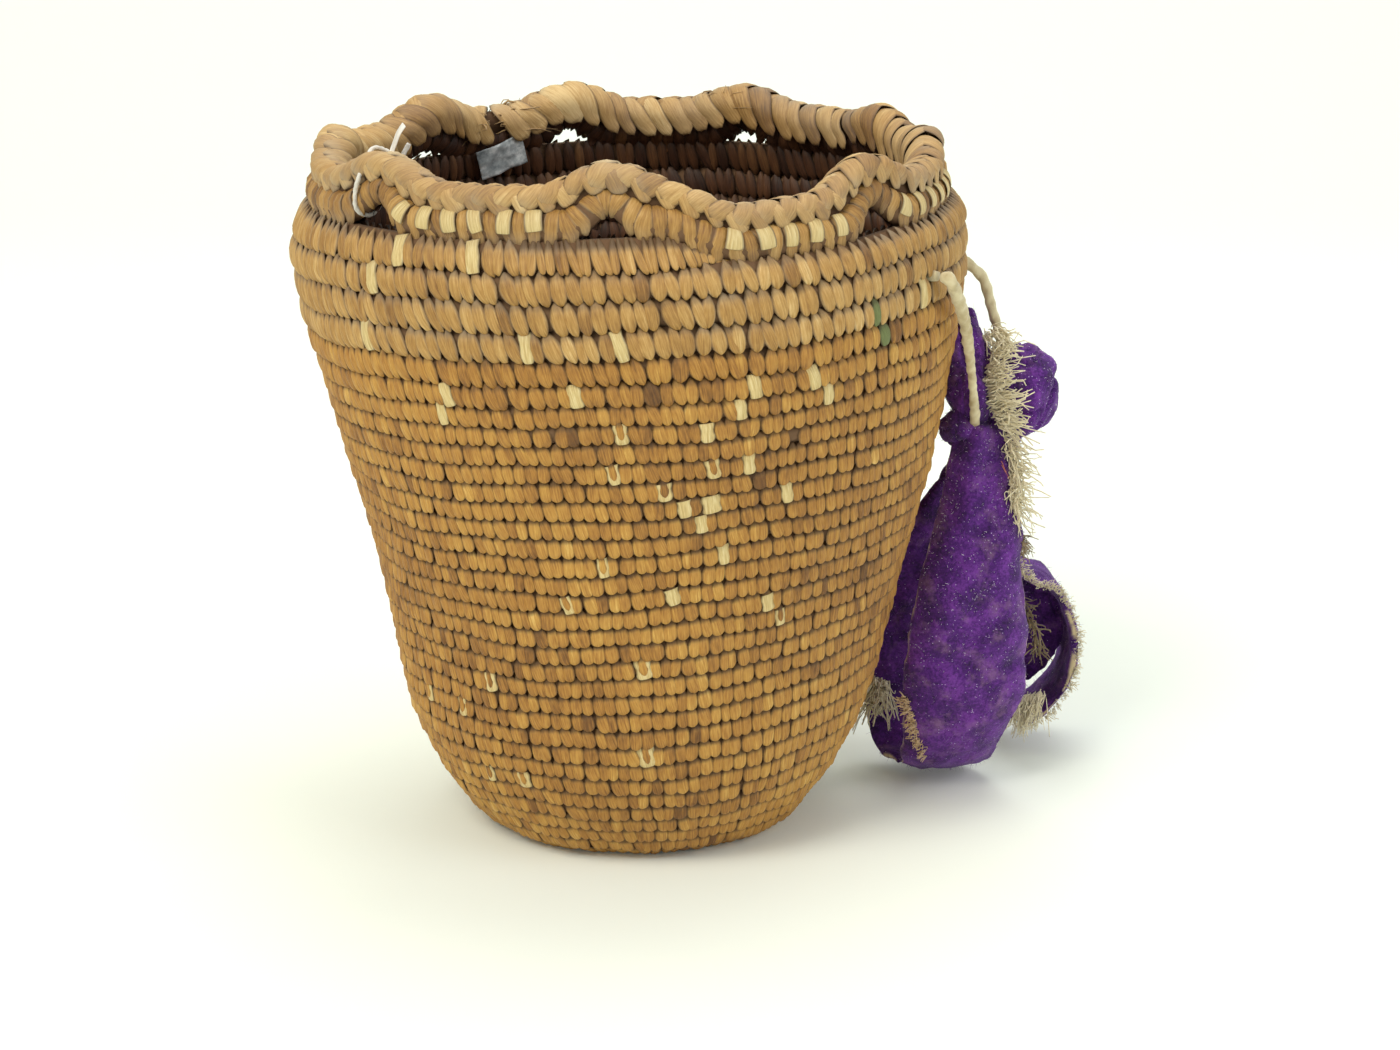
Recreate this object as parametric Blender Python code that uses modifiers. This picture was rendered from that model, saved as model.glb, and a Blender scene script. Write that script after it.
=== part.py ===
"""Coiled cedar-root basket with a looped, braided rim and a strap of wool cloth tied to its side.

Metres, +Z up. The origin is the centre of the base on the floor, and the front is -Y.
One coil winds out from the middle of the base and then up the wall. It is divided at its
splices into a base coil and four wall bands, and each is one unbroken spiral.
"""
import bisect
from math import atan2, ceil, cos, degrees, floor, hypot, pi, radians, sin, sqrt

import bmesh
import bpy
from mathutils import Matrix, Quaternion, Vector

# Main sizes of the wall's outer face
WALL_HEIGHT = 0.225       # from the floor to the top of the last row, under the rim
BASE_RADIUS = 0.0450      # of the flat that the basket stands on
MOUTH_RADIUS = 0.1146
BASE_FLAT = 0.0005        # depth to which the base coil is worn flat
# Outline between them: share of the way from the base's radius to the mouth's, and of the height
OUTLINE = (
    (0.108, 0.0036),
    (0.198, 0.0204),
    (0.287, 0.0542),
    (0.408, 0.1111),
    (0.526, 0.2000),
    (0.618, 0.3333),
    (0.734, 0.4889),
    (0.872, 0.6667),
    (0.971, 0.8222),
    (1.001, 0.9111),
    (1.000, 1.0000),
)
# The wall's axis wanders sideways as it climbs: share of the height, and shift along X
LEAN = ((0.0, 0.0), (0.267, 0.0015), (0.533, 0.0027), (0.756, 0.0008), (1.0, -0.0038))
# The rows climb to the right: share of the height, and rise for each metre along X
SKEW = ((0.0, 0.0), (0.267, 0.050), (0.8, 0.050), (1.0, 0.030))
# The last rows are drawn in under the rim: share of the height, and how far
DRAWN_IN = ((0.0, 0.0), (0.93, 0.0), (0.96, 0.0012), (1.0, 0.0050), (1.2, 0.0230))
# Over them the mouth tilts: share of the height, and of the tilt; its sink or rise for each metre
TOP_TILT = ((0.0, 0.0), (0.93, 0.0), (1.0, 1.0))
FRONT_SINK, BACK_RISE = 0.016, 0.026

# Coil
ROW = 0.00655             # height of one row of the coil over most of the wall
RIM_ROW = 0.0095          # height of the rows just under the rim
RIM_ROWS_DEPTH = 0.026    # how far below the rim the rows keep that height
ROW_GROWTH = 0.030        # length of wall over which the rows grow to it
ROW_GAP = 0.00045         # gap between one row and the next
COIL_START = 1.5          # turns of the spiral that the starting knot takes up
KNOT_POINTS = 30          # points round the knot's outline
KNOT_FACET = 0.978        # the coil's straight stretches come this much nearer the middle
KNOT_END_GAP = 0.0006     # gap between the knot and the coil's first end
COIL_END_ANGLE = -83.4    # where the last row ends, in degrees from +X
COIL_END_RISE = 0.175     # its top is there this share of a row above the wall's height
POINTS_PER_TURN = 15
OUTLINE_STEP = 0.001      # length of the steps in which the outline is followed
WALL_BANDS = 4
BASE_COIL_EDGE = 0.006    # the base coil ends this far outside the base's flat
SPLICE_GAP = 0.0003       # gap where two lengths of the coil meet end to end

# Rim: for each arch its angle in degrees, half the span of its hole, and the hole's height
ARCHES = (
    (-92.0, 0.015, 0.0082),
    (-41.0, 0.018, 0.0100),
    (-3.0, 0.015, 0.0076),
    (28.0, 0.014, 0.0062),
    (65.0, 0.017, 0.0074),
    (103.0, 0.017, 0.0085),
    (137.0, 0.017, 0.0095),
    (178.0, 0.018, 0.0085),
    (221.0, 0.021, 0.0090),
)
RIM_COIL_RADIUS = 0.0050   # the wrapped coil where it lies on the wall
ARCH_COIL_RADIUS = 0.0040  # the same coil where it is drawn out into an arch
RIM_BRAID_RADIUS = 0.0043
RIM_LEAN = 22.0            # degrees from upright at which the rim goes on inward from the wall
BRAID_SPREAD = 1.6         # the braid rises over an arch this many times as slowly as the coil
RIM_STEP = 3.5             # degrees between the points along the rim
STEP_DOWN = 14.0           # degrees past the last row's end in which the rim comes down a row
RIM_GAP = 0.0004
BRAID_GAP = 0.0007
BREAK_AFTER_ARCH = 6       # the braid is broken between this arch and the next
BREAK_GAP = 0.0060

# Lacing cord
CORD_RADIUS = 0.0018
HOLE_CLEARANCE = 0.0006
LEFT_HOLE = (-29.0, 3)     # angle in degrees, and the seam that it is in, counted from the rim
RIGHT_HOLE = (6.0, 4)
PIVOT_STANDOFF = 0.0026    # the strap's swing axis lies this far outside the wall
HOLE_EXIT = 0.0020         # the cord runs straight this far past the hole, inside the wall
BIGHT_BEND = 0.0060        # radius of its bend there
BIGHT_STANDOFF = 0.0045    # how far inside the wall the cord runs from hole to hole
CORD_STEP = 0.0085
CORD_SIDES = 2             # bevel steps of the cord, which give it eight sides

# Strap of wool cloth
CLOTH_THICKNESS = 0.0024
CLOTH_GAP = 0.0004         # between one fold of the cloth and the next

# Small things on the rim
TAPE_SIZE = (0.0190, 0.0118, 0.0004)
TAPE_ANGLE = 119.0
TAPE_DROP = 0.0036         # its middle lies this far below the wall's top
TAPE_TILT = -18.0
TAPE_GAP = 0.0014
STRING_RADIUS = 0.0006
STRING_ANGLE = 216.5
STRING_CLEARANCE = 0.0005
STRING_TAIL = (0.0150, 0.0110)  # how far inside the rim the tail ends, and how far above it

COLLECTION = "coiled_basket"


def linear(hex_colour):
    """Turn an sRGB hex colour into the linear colour that a shader takes."""
    channels = [int(hex_colour[i:i + 2], 16) / 255 for i in (0, 2, 4)]
    return [c / 12.92 if c <= 0.04045 else ((c + 0.055) / 1.055) ** 2.4 for c in channels] + [1.0]


def material(name, hex_colour, roughness):
    made = bpy.data.materials.new(name)
    made.use_nodes = True
    shader = made.node_tree.nodes["Principled BSDF"]
    shader.inputs["Base Color"].default_value = linear(hex_colour)
    shader.inputs["Roughness"].default_value = roughness
    made.diffuse_color = linear(hex_colour)
    return made


def between(table, place):
    """Read a table of pairs at a place, along straight lines between its rows."""
    for (low, at_low), (high, at_high) in zip(table, table[1:]):
        if place <= high:
            share = max(place - low, 0.0) / (high - low)
            return at_low + (at_high - at_low) * share
    return table[-1][1]


def smooth(points, step):
    """Points about a step apart on a smooth curve through the given points."""
    points = [Vector(p) for p in points]
    ends = [points[0] * 2 - points[1]] + points + [points[-1] * 2 - points[-2]]
    made = []
    for before, start, stop, after in zip(ends, ends[1:], ends[2:], ends[3:]):
        pieces = max(1, ceil((stop - start).length / step))
        for i in range(pieces):
            t = i / pieces
            made.append(0.5 * (2 * start + (stop - before) * t
                               + (2 * before - 5 * start + 4 * stop - after) * t ** 2
                               + (3 * start - before - 3 * stop + after) * t ** 3))
    return made + [points[-1]]


def measure(points):
    """The length reached at each point of a line."""
    lengths = [0.0]
    for a, b in zip(points, points[1:]):
        lengths.append(lengths[-1] + (b - a).length)
    return lengths


FLAT_SHARE = cos(pi / 6)  # a six-sided tube's reach across its flats, for each metre of radius


def tube_radius(height):
    """The radius of a six-sided tube that fills a height with its flats, less the gap."""
    return (height - ROW_GAP) / 2 / FLAT_SHARE


class Wall:
    """The middle of the wall's thickness, from the middle of the base to the rim, by length."""

    def __init__(self):
        flat = [(share * BASE_RADIUS, 0.0, -BASE_FLAT) for share in (0.0, 0.5, 1.0)]
        reach = MOUTH_RADIUS - BASE_RADIUS
        side = [(BASE_RADIUS + reach * out, 0.0, WALL_HEIGHT * up) for out, up in OUTLINE]
        outer = smooth(flat + side, OUTLINE_STEP)
        reached_at = measure(outer)
        self.length = reached_at[-1]
        self.points = []
        for i, reached in enumerate(reached_at):
            along = outer[min(i + 1, len(outer) - 1)] - outer[max(i - 1, 0)]
            inward = Vector((-along.z, 0.0, along.x)).normalized()
            self.points.append(outer[i] + inward * tube_radius(self.row_height(reached)))
        self.lengths = measure(self.points)
        self.length = self.lengths[-1]
        self.rows = self.row_table()

    def at(self, length):
        """Radius, height and outward normal, in the plane of the outline."""
        i = min(max(bisect.bisect(self.lengths, length), 1), len(self.points) - 1)
        a, b = self.points[i - 1], self.points[i]
        along = (b - a) / (self.lengths[i] - self.lengths[i - 1])
        here = a + along * (length - self.lengths[i - 1])
        return here.x, here.z, Vector((along.z, -along.x))

    def row_height(self, length):
        below_rim = self.length - length
        growth = (RIM_ROWS_DEPTH + ROW_GROWTH - below_rim) / ROW_GROWTH
        return ROW + (RIM_ROW - ROW) * min(max(growth, 0.0), 1.0)

    def row_table(self):
        """Lengths along the outline that the spiral reaches, at 64 steps a turn."""
        table = [0.0]
        while table[-1] < self.length:
            table.append(table[-1] + self.row_height(table[-1]) / 64)
        return table

    def reach(self, turn):
        """The length that the spiral reaches at a turn. It goes on evenly past the wall's height."""
        i = min(max(int(turn * 64), 0), len(self.rows) - 2)
        return self.rows[i] + (self.rows[i + 1] - self.rows[i]) * (turn * 64 - i)

    def turn_at(self, length):
        return bisect.bisect(self.rows, length) / 64


wall = Wall()
# The spiral is turned so that its last row ends at the angle set for it
RIM_TURN = wall.turn_at(wall.length)
LAST_TURN = RIM_TURN - 0.5 + COIL_END_RISE
START_ANGLE = radians(COIL_END_ANGLE) - 2 * pi * LAST_TURN


def place(radius, height, angle):
    """A point of the leaning, skewed wall from its upright radius, height and angle."""
    up = height / WALL_HEIGHT
    radius -= between(DRAWN_IN, up)
    x, y = radius * cos(angle), radius * sin(angle)
    tilt = between(TOP_TILT, up) * (BACK_RISE if y > 0 else FRONT_SINK)
    return Vector((x + between(LEAN, up), y, height + between(SKEW, up) * x + tilt * y))


def facet(angle):
    """The coil is straight from point to point: its reach at an angle, with a mean of about 1."""
    half = pi / POINTS_PER_TURN
    off_middle = (angle - START_ANGLE) % (2 * half) - half
    return 2 * cos(half) / (1 + cos(half)) / cos(off_middle)


def on_wall(length, angle, outward=0.0):
    radius, height, normal = wall.at(length)
    return place(radius * facet(angle) + normal.x * outward, height + normal.y * outward, angle)


class Row:
    """The coil at one turn of the spiral: its centre, its tube's radius and its tilt."""

    def __init__(self, turn, alone=False):
        self.angle = START_ANGLE + 2 * pi * turn
        low, high = wall.reach(turn - 0.5), wall.reach(turn + 0.5)
        self.radius = tube_radius(high - low)
        if wall.at(high)[1] > DRAWN_IN[1][0] * WALL_HEIGHT:
            self.radius = tube_radius((on_wall(high, self.angle) - on_wall(low, self.angle)).length)
        self.centre = on_wall((low + high) / 2, self.angle)
        self.tilt = 0.0
        if not alone:
            self.fit(Row(turn - 1, alone=True) if turn > 1.5 else self, Row(turn + 1, alone=True))

    def direction(self, toward):
        """The lean of the way to a point, in the upright plane through the basket's middle."""
        side = toward.x * cos(self.angle) + toward.y * sin(self.angle)
        return atan2(toward.z, side)

    def fit(self, before, after):
        """Turn the tube's flats to face the rows beside it, and leave the gap between them."""
        self.tilt = pi / 2 - self.direction(after.centre - before.centre)
        for row in (before, after):
            if row is not self:
                self.radius = min(self.radius, self.room(row))

    def reach(self, toward):
        """How far the six-sided tube reaches toward a point, for each metre of its radius."""
        lean = self.direction(toward - self.centre) + self.tilt
        return cos((lean + pi / 6) % (pi / 3) - pi / 6)

    def room(self, other):
        """The radius that leaves the gap to a neighbouring row, each with its share of the way."""
        share = self.radius / (self.radius + other.radius)
        free = (other.centre - self.centre).length - ROW_GAP
        return free * share / self.reach(other.centre)


def new_collection(name):
    made = bpy.data.collections.new(name)
    bpy.context.scene.collection.children.link(made)
    return made


def add(name, data, shade, collection):
    made = bpy.data.objects.new(name, data)
    if shade:
        data.materials.append(shade)
    collection.objects.link(made)
    return made


def tube(name, points, radii, shade, collection, bevel=1, tilts=None, twist="Z_UP"):
    """A round piece along its points, as a curve with filled ends."""
    curve = bpy.data.curves.new(name, "CURVE")
    curve.dimensions = "3D"
    curve.twist_mode = twist
    curve.bevel_depth = max(radii)
    curve.bevel_resolution = bevel
    curve.use_fill_caps = True
    spline = curve.splines.new("POLY")
    spline.points.add(len(points) - 1)
    for i, point in enumerate(spline.points):
        point.co = (*points[i], 1.0)
        point.radius = radii[i] / max(radii)
        point.tilt = tilts[i] if tilts else 0.0
    return add(name, curve, shade, collection)


def as_mesh(made):
    """Turn a curve, or an object with modifiers, into one closed mesh with welded ends."""
    bpy.context.view_layer.update()
    evaluated = made.evaluated_get(bpy.context.evaluated_depsgraph_get())
    mesh = bpy.data.meshes.new_from_object(evaluated)
    name, old = made.name, made.data
    collection = made.users_collection[0]
    matrix = made.matrix_world.copy()
    bpy.data.objects.remove(made)
    cleaned = bmesh.new()
    cleaned.from_mesh(mesh)
    bmesh.ops.remove_doubles(cleaned, verts=cleaned.verts, dist=0.00001)
    bmesh.ops.recalc_face_normals(cleaned, faces=cleaned.faces)
    cleaned.to_mesh(mesh)
    cleaned.free()
    mesh.name = name
    solid = add(name, mesh, None, collection)
    solid.matrix_world = matrix
    (bpy.data.curves if isinstance(old, bpy.types.Curve) else bpy.data.meshes).remove(old)
    return solid


def cut(solid, cutter):
    cutter.display_type = "WIRE"
    cutter.hide_render = True
    modifier = solid.modifiers.new("cut_" + cutter.name, "BOOLEAN")
    modifier.operation = "DIFFERENCE"
    modifier.solver = "EXACT"
    modifier.object = cutter


def coil_piece(name, first, last, shade, collection):
    """One unbroken length of the coil between two turns of the spiral."""
    start = ceil(first * POINTS_PER_TURN + 0.01)
    stop = floor(last * POINTS_PER_TURN - 0.01)
    inner = [Row(i / POINTS_PER_TURN) for i in range(start, stop + 1)]
    ends = []
    for turn in (first, last):
        before = Row(floor(turn * POINTS_PER_TURN) / POINTS_PER_TURN)
        after = Row(ceil(turn * POINTS_PER_TURN) / POINTS_PER_TURN)
        end = Row(turn)
        span = (after.centre - before.centre).normalized()
        share = turn * POINTS_PER_TURN % 1.0
        end.centre = before.centre.lerp(after.centre, share)
        end.centre += span * (SPLICE_GAP / 2 if turn == first else -SPLICE_GAP / 2)
        ends.append(end)
    rows = [ends[0]] + inner + [ends[1]]
    return tube(name, [r.centre for r in rows], [r.radius for r in rows], shade, collection,
                tilts=[r.tilt for r in rows])


def splice_turn(turn):
    """The middle of the straight stretch nearest to a turn, where two lengths can meet square."""
    return (floor(turn * POINTS_PER_TURN) + 0.5) / POINTS_PER_TURN


def build_coil(root, parts, cutters):
    base_end = splice_turn(wall.turn_at(BASE_RADIUS + BASE_COIL_EDGE))
    coil_start = splice_turn(COIL_START)
    base = as_mesh(coil_piece("base_coil", coil_start, base_end, root, parts))
    base.data.materials.append(root)
    bpy.ops.mesh.primitive_cube_add(size=1.0)
    floor_cutter = bpy.context.active_object
    floor_cutter.name = "floor_cutter"
    floor_cutter.scale = (3 * MOUTH_RADIUS, 3 * MOUTH_RADIUS, 2 * ROW)
    floor_cutter.location = (0.0, 0.0, -ROW)
    bpy.ops.object.transform_apply(location=False, rotation=False, scale=True)
    move_to(floor_cutter, cutters)
    cut(base, floor_cutter)
    bands = []
    edges = [base_end]
    for i in range(WALL_BANDS - 1):
        edges.append(splice_turn(base_end + (LAST_TURN - base_end) * (i + 1) / WALL_BANDS))
    edges.append(LAST_TURN)
    for i in range(WALL_BANDS):
        bands.append(coil_piece(f"wall_band_{i + 1}", edges[i], edges[i + 1], root, parts))
    print("least gap of the coil to itself, mm:", round(least_gap(coil_start, LAST_TURN), 3))
    return bands


def least_gap(first, last):
    """The least gap between a row and the next, in millimetres, measured on their points."""
    gaps = []
    for i in range(ceil(first * POINTS_PER_TURN), floor((last - 1) * POINTS_PER_TURN)):
        low, high = Row(i / POINTS_PER_TURN), Row(i / POINTS_PER_TURN + 1)
        reach = low.radius * low.reach(high.centre) + high.radius * high.reach(low.centre)
        gaps.append((high.centre - low.centre).length - reach)
    return min(gaps) * 1000


def move_to(made, collection):
    for old in made.users_collection:
        old.objects.unlink(made)
    collection.objects.link(made)


def build_base_knot(root, parts):
    """The start of the coil: a flat knob that fills the first turn of the spiral."""
    first = splice_turn(COIL_START)
    rows = [Row(first + i / KNOT_POINTS) for i in range(KNOT_POINTS + 1)]
    height = rows[0].centre.z + rows[0].radius
    curve = bpy.data.curves.new("base_knot", "CURVE")
    curve.dimensions = "2D"
    curve.fill_mode = "BOTH"
    curve.extrude = height / 2
    spline = curve.splines.new("POLY")
    spline.points.add(len(rows) - 1)
    spline.use_cyclic_u = True
    for row, point in zip(rows, spline.points):
        reach = hypot(row.centre.x, row.centre.y) * KNOT_FACET - row.radius - SPLICE_GAP
        angle = row.angle - (KNOT_END_GAP / reach if row is rows[-1] else 0.0)
        point.co = (reach * cos(angle), reach * sin(angle), 0.0, 1.0)
    add("base_knot", curve, root, parts).location = (0.0, 0.0, height / 2)


def arch(angle, spread):
    """How far up an arch the rim is at an angle, from 0 to 1, and the height of that hole."""
    for middle, half_span, hole in ARCHES:
        away = (degrees(angle) - middle + 180) % 360 - 180
        share = abs(radians(away)) * wall.at(wall.length)[0] / half_span / spread
        if share < 1:
            return cos(share * pi / 2) ** 2, hole
    return 0.0, 0.0


def rim_coil(angle):
    """Radius of the rim's wrapped coil at an angle, and its height above the wall."""
    bump, hole = arch(angle, 1.0)
    radius = RIM_COIL_RADIUS + (ARCH_COIL_RADIUS - RIM_COIL_RADIUS) * bump
    return radius, RIM_GAP + hole * bump + radius * FLAT_SHARE


def rim_foot(angle):
    """The length up the wall at which the rim stands: the top of the last row at an angle."""
    past_end = (angle - radians(COIL_END_ANGLE)) % (2 * pi)
    down = min(past_end / radians(STEP_DOWN), 1.0)
    last_row = wall.reach(LAST_TURN - 0.5 + past_end / (2 * pi))
    return last_row + RIM_ROW * (1 - down * down * (3 - 2 * down))


class Rim:
    """The rim's two layers at one angle: the wrapped coil and the braid over it."""

    def __init__(self, angle):
        self.angle = angle
        self.ring_radius, self.wall_top, _ = wall.at(rim_foot(angle))
        away, lean = Vector((cos(angle), sin(angle), 0.0)), radians(RIM_LEAN)
        self.outward = away * cos(lean) + Vector((0.0, 0.0, sin(lean)))
        self.up = Vector((0.0, 0.0, cos(lean))) - away * sin(lean)
        self.coil_radius, self.coil_height = rim_coil(angle)
        step = 0.01
        rise = rim_coil(angle + step)[1] - rim_coil(angle - step)[1]
        rise += rim_foot(angle + step) - rim_foot(angle - step)
        steepness = sqrt(1 + (rise / (2 * step * self.ring_radius)) ** 2)
        coil_top = self.coil_height + self.coil_radius * FLAT_SHARE * steepness
        bump, hole = arch(angle, BRAID_SPREAD)
        drawn_in = 2 * (RIM_COIL_RADIUS - ARCH_COIL_RADIUS) * FLAT_SHARE
        easy = RIM_GAP + 2 * RIM_COIL_RADIUS * FLAT_SHARE + (hole - drawn_in) * bump
        self.braid_height = max(coil_top, easy) + BRAID_GAP + RIM_BRAID_RADIUS * FLAT_SHARE

    def point(self, above):
        return place(self.ring_radius, self.wall_top, self.angle) + self.up * above

    def coil_centre(self):
        return self.point(self.coil_height)

    def braid_centre(self):
        return self.point(self.braid_height)


def rim_piece(name, start, stop, start_gap, stop_gap, centre, radius, shade, collection):
    """A length of the rim whose ends are square to the rim, so that lengths meet face to face."""
    steps = max(2, round((stop - start) / radians(RIM_STEP)))
    angles = [start + (stop - start) * i / steps for i in range(1, steps)]
    points = [centre(Rim(a)) for a in angles]
    radii = [radius(Rim(a)) for a in angles]
    for angle, gap, direction in ((start, start_gap, 1), (stop, stop_gap, -1)):
        here = centre(Rim(angle))
        along = (centre(Rim(angle + 0.01)) - centre(Rim(angle - 0.01))).normalized() * direction
        ends = [here + along * gap / 2, here + along * (gap / 2 + 0.002)]
        if direction == 1:
            points = ends + points
            radii = [radius(Rim(angle))] * 2 + radii
        else:
            points = points + ends[::-1]
            radii = radii + [radius(Rim(angle))] * 2
    return tube(name, points, radii, shade, collection, tilts=[-radians(RIM_LEAN)] * len(points))


def build_rim(root, parts):
    middles = [radians(a) for a, _, _ in ARCHES]
    joins = [(a + b) / 2 for a, b in zip(middles, middles[1:])]
    joins = [(middles[-1] - 2 * pi + middles[0]) / 2] + joins
    joins.append(joins[0] + 2 * pi)
    for i in range(len(ARCHES)):
        start_gap = BREAK_GAP if i == BREAK_AFTER_ARCH else SPLICE_GAP
        stop_gap = BREAK_GAP if i + 1 == BREAK_AFTER_ARCH else SPLICE_GAP
        rim_piece(f"rim_coil_{i + 1}", joins[i], joins[i + 1], SPLICE_GAP, SPLICE_GAP,
                  Rim.coil_centre, lambda rim: rim.coil_radius, root, parts)
        rim_piece(f"rim_braid_{i + 1}", joins[i], joins[i + 1], start_gap, stop_gap,
                  Rim.braid_centre, lambda rim: RIM_BRAID_RADIUS, root, parts)


class Hole:
    """A lacing hole: where it leaves the wall outside and inside."""

    def __init__(self, angle, seam):
        self.angle = radians(angle)
        share = (self.angle - START_ANGLE) / (2 * pi) % 1.0
        turn = floor(RIM_TURN - 0.5 - share) + share - (seam - 1)
        self.length = wall.reach(turn + 0.5)
        half = Row(turn).radius
        self.depth = 2 * half
        self.outer = on_wall(self.length, self.angle, half)
        self.inner = on_wall(self.length, self.angle, -half)
        self.outward = (self.outer - self.inner).normalized()
        self.pivot = self.outer + self.outward * PIVOT_STANDOFF


left_hole = Hole(*LEFT_HOLE)
right_hole = Hole(*RIGHT_HOLE)
strap_pivot = left_hole.pivot.lerp(right_hole.pivot, 0.5)


def cut_lacing_holes(band, cutters):
    solid = as_mesh(band)
    for name, hole in (("left_hole_cutter", left_hole), ("right_hole_cutter", right_hole)):
        bpy.ops.mesh.primitive_cylinder_add(vertices=12, radius=CORD_RADIUS + HOLE_CLEARANCE,
                                            depth=3 * hole.depth)
        cutter = bpy.context.active_object
        cutter.name = name
        cutter.location = hole.outer.lerp(hole.inner, 0.5)
        cutter.rotation_mode = "QUATERNION"
        cutter.rotation_quaternion = hole.outward.to_track_quat("Z", "Y")
        move_to(cutter, cutters)
        cut(solid, cutter)
    return solid


def build_lacing_cord(cord, parts):
    """The cord inside the wall, from one hole to the other, with its ends flush outside."""
    stub = PIVOT_STANDOFF - CORD_RADIUS - HOLE_CLEARANCE
    route = []
    for hole, toward in ((left_hole, 1), (right_hole, -1)):
        inside = hole.inner - hole.outward * HOLE_EXIT
        side = Vector((-sin(hole.angle), cos(hole.angle), 0.0)) * toward
        leg = [hole.outer + hole.outward * stub, hole.inner, inside,
               inside + side * BIGHT_BEND - hole.outward * BIGHT_BEND / 2]
        route.append(leg if toward == 1 else leg[::-1])
    turn_length = (left_hole.length + right_hole.length) / 2
    middle = (left_hole.angle + right_hole.angle) / 2
    inward = left_hole.depth / 2 + BIGHT_STANDOFF
    run = [on_wall(turn_length, middle + side * radians(6), -inward) for side in (-1, 1)]
    points = smooth(route[0] + run + route[1], CORD_STEP)
    tube("lacing_cord", points, [CORD_RADIUS] * len(points), cord, parts,
         bevel=CORD_SIDES, twist="MINIMUM")


def rounded_start(points, radius):
    """Points and radii of a tube whose first end is a half ball centred on its first point."""
    along = (points[1] - points[0]).normalized()
    start = points[0]
    caps = [(-0.96, 0.28), (-0.75, 0.66), (-0.4, 0.92)]
    made = [start + along * radius * back for back, _ in caps]
    return made + list(points), [radius * wide for _, wide in caps] + [radius] * len(points)


def cord_leg(name, hole, route, cord, parts, grow=0.0):
    """A leg of the cord outside the wall, from its hole to the cloth."""
    out = hole.pivot + hole.outward * 0.0022 + Vector((0.0, 0.0, -0.0012))
    points = smooth([hole.pivot, out] + route, CORD_STEP)
    points[-1] += (points[-1] - points[-2]).normalized() * grow
    points, radii = rounded_start(points, CORD_RADIUS)
    radii = [r + grow for r in radii]
    return tube(name, points, radii, cord, parts, bevel=CORD_SIDES, twist="MINIMUM")


# Routes of the cord's legs after they leave the wall, from the strap's pivot
LEFT_LEG = [strap_pivot + Vector(p) for p in (
    (0.0017, -0.0251, -0.0097),
    (0.0062, -0.0116, -0.0257),
    (0.0102, 0.0044, -0.0417),
    (0.0127, 0.0174, -0.0547),
    (0.0127, 0.0214, -0.0592),
)]
RIGHT_LEG = [strap_pivot + Vector(p) for p in (
    (0.0157, 0.0354, -0.0097),
    (0.0197, 0.0349, -0.0207),
    (0.0242, 0.0339, -0.0307),
    (0.0262, 0.0336, -0.0357),
)]


def ball(name, middle, half_sizes, turned, shade, collection, grow=0.0):
    """A stuffed-looking fold: a ball drawn out to its half sizes and turned in place."""
    mesh = bpy.data.meshes.new(name)
    shape = bmesh.new()
    bmesh.ops.create_uvsphere(shape, u_segments=14, v_segments=7, radius=1.0)
    scale = Matrix.Diagonal([s + grow for s in half_sizes] + [1.0])
    turn = Matrix.Rotation(radians(turned[1]), 4, "Y") @ Matrix.Rotation(radians(turned[0]), 4, "X")
    bmesh.ops.transform(shape, matrix=turn @ scale, verts=shape.verts)
    shape.to_mesh(mesh)
    shape.free()
    mesh.shade_smooth()
    made = add(name, mesh, shade, collection)
    made.location = strap_pivot + Vector(middle)
    return made


# Folds of the cloth above its falls: middle from the pivot, half sizes, and turns about X and Y
UPPER_FOLD = ((0.0117, 0.0294, -0.0387), (0.0075, 0.0120, 0.0205), (-12.0, -4.0))
RIGHT_LOBE = ((0.0292, 0.0334, -0.0487), (0.0125, 0.0140, 0.0165), (-8.0, 16.0))
KNOT = ((0.0097, 0.0254, -0.0627), (0.0085, 0.0105, 0.0085), (0.0, 20.0))

# Falls of the cloth: middle of the strip from the pivot, half its width, bulge, and the angle
# that it faces
FRONT_FALL = (
    ((0.0107, 0.0244, -0.0687), 0.0095, 0.0020, -75.0),
    ((0.0122, 0.0214, -0.0877), 0.0130, 0.0045, -75.0),
    ((0.0112, 0.0184, -0.1097), 0.0170, 0.0050, -78.0),
    ((0.0102, 0.0189, -0.1347), 0.0210, 0.0055, -80.0),
    ((0.0097, 0.0234, -0.1577), 0.0220, 0.0050, -80.0),
    ((0.0082, 0.0314, -0.1787), 0.0200, 0.0040, -80.0),
    ((0.0052, 0.0419, -0.1912), 0.0170, 0.0020, -80.0),
    ((0.0007, 0.0534, -0.1942), 0.0150, 0.0005, -80.0),
)
REAR_FALL = (
    ((0.0082, 0.0304, -0.0677), 0.0070, 0.0010, -70.0),
    ((0.0042, 0.0444, -0.0787), 0.0080, 0.0015, -70.0),
    ((-0.0018, 0.0549, -0.0937), 0.0095, 0.0020, -70.0),
    ((-0.0033, 0.0594, -0.1097), 0.0120, 0.0025, -70.0),
    ((-0.0058, 0.0624, -0.1347), 0.0150, 0.0030, -72.0),
    ((-0.0083, 0.0664, -0.1597), 0.0160, 0.0030, -74.0),
    ((-0.0083, 0.0684, -0.1797), 0.0155, 0.0020, -76.0),
    ((-0.0048, 0.0629, -0.1917), 0.0150, 0.0010, -78.0),
    ((0.0012, 0.0524, -0.1940), 0.0148, 0.0005, -80.0),
)
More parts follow.
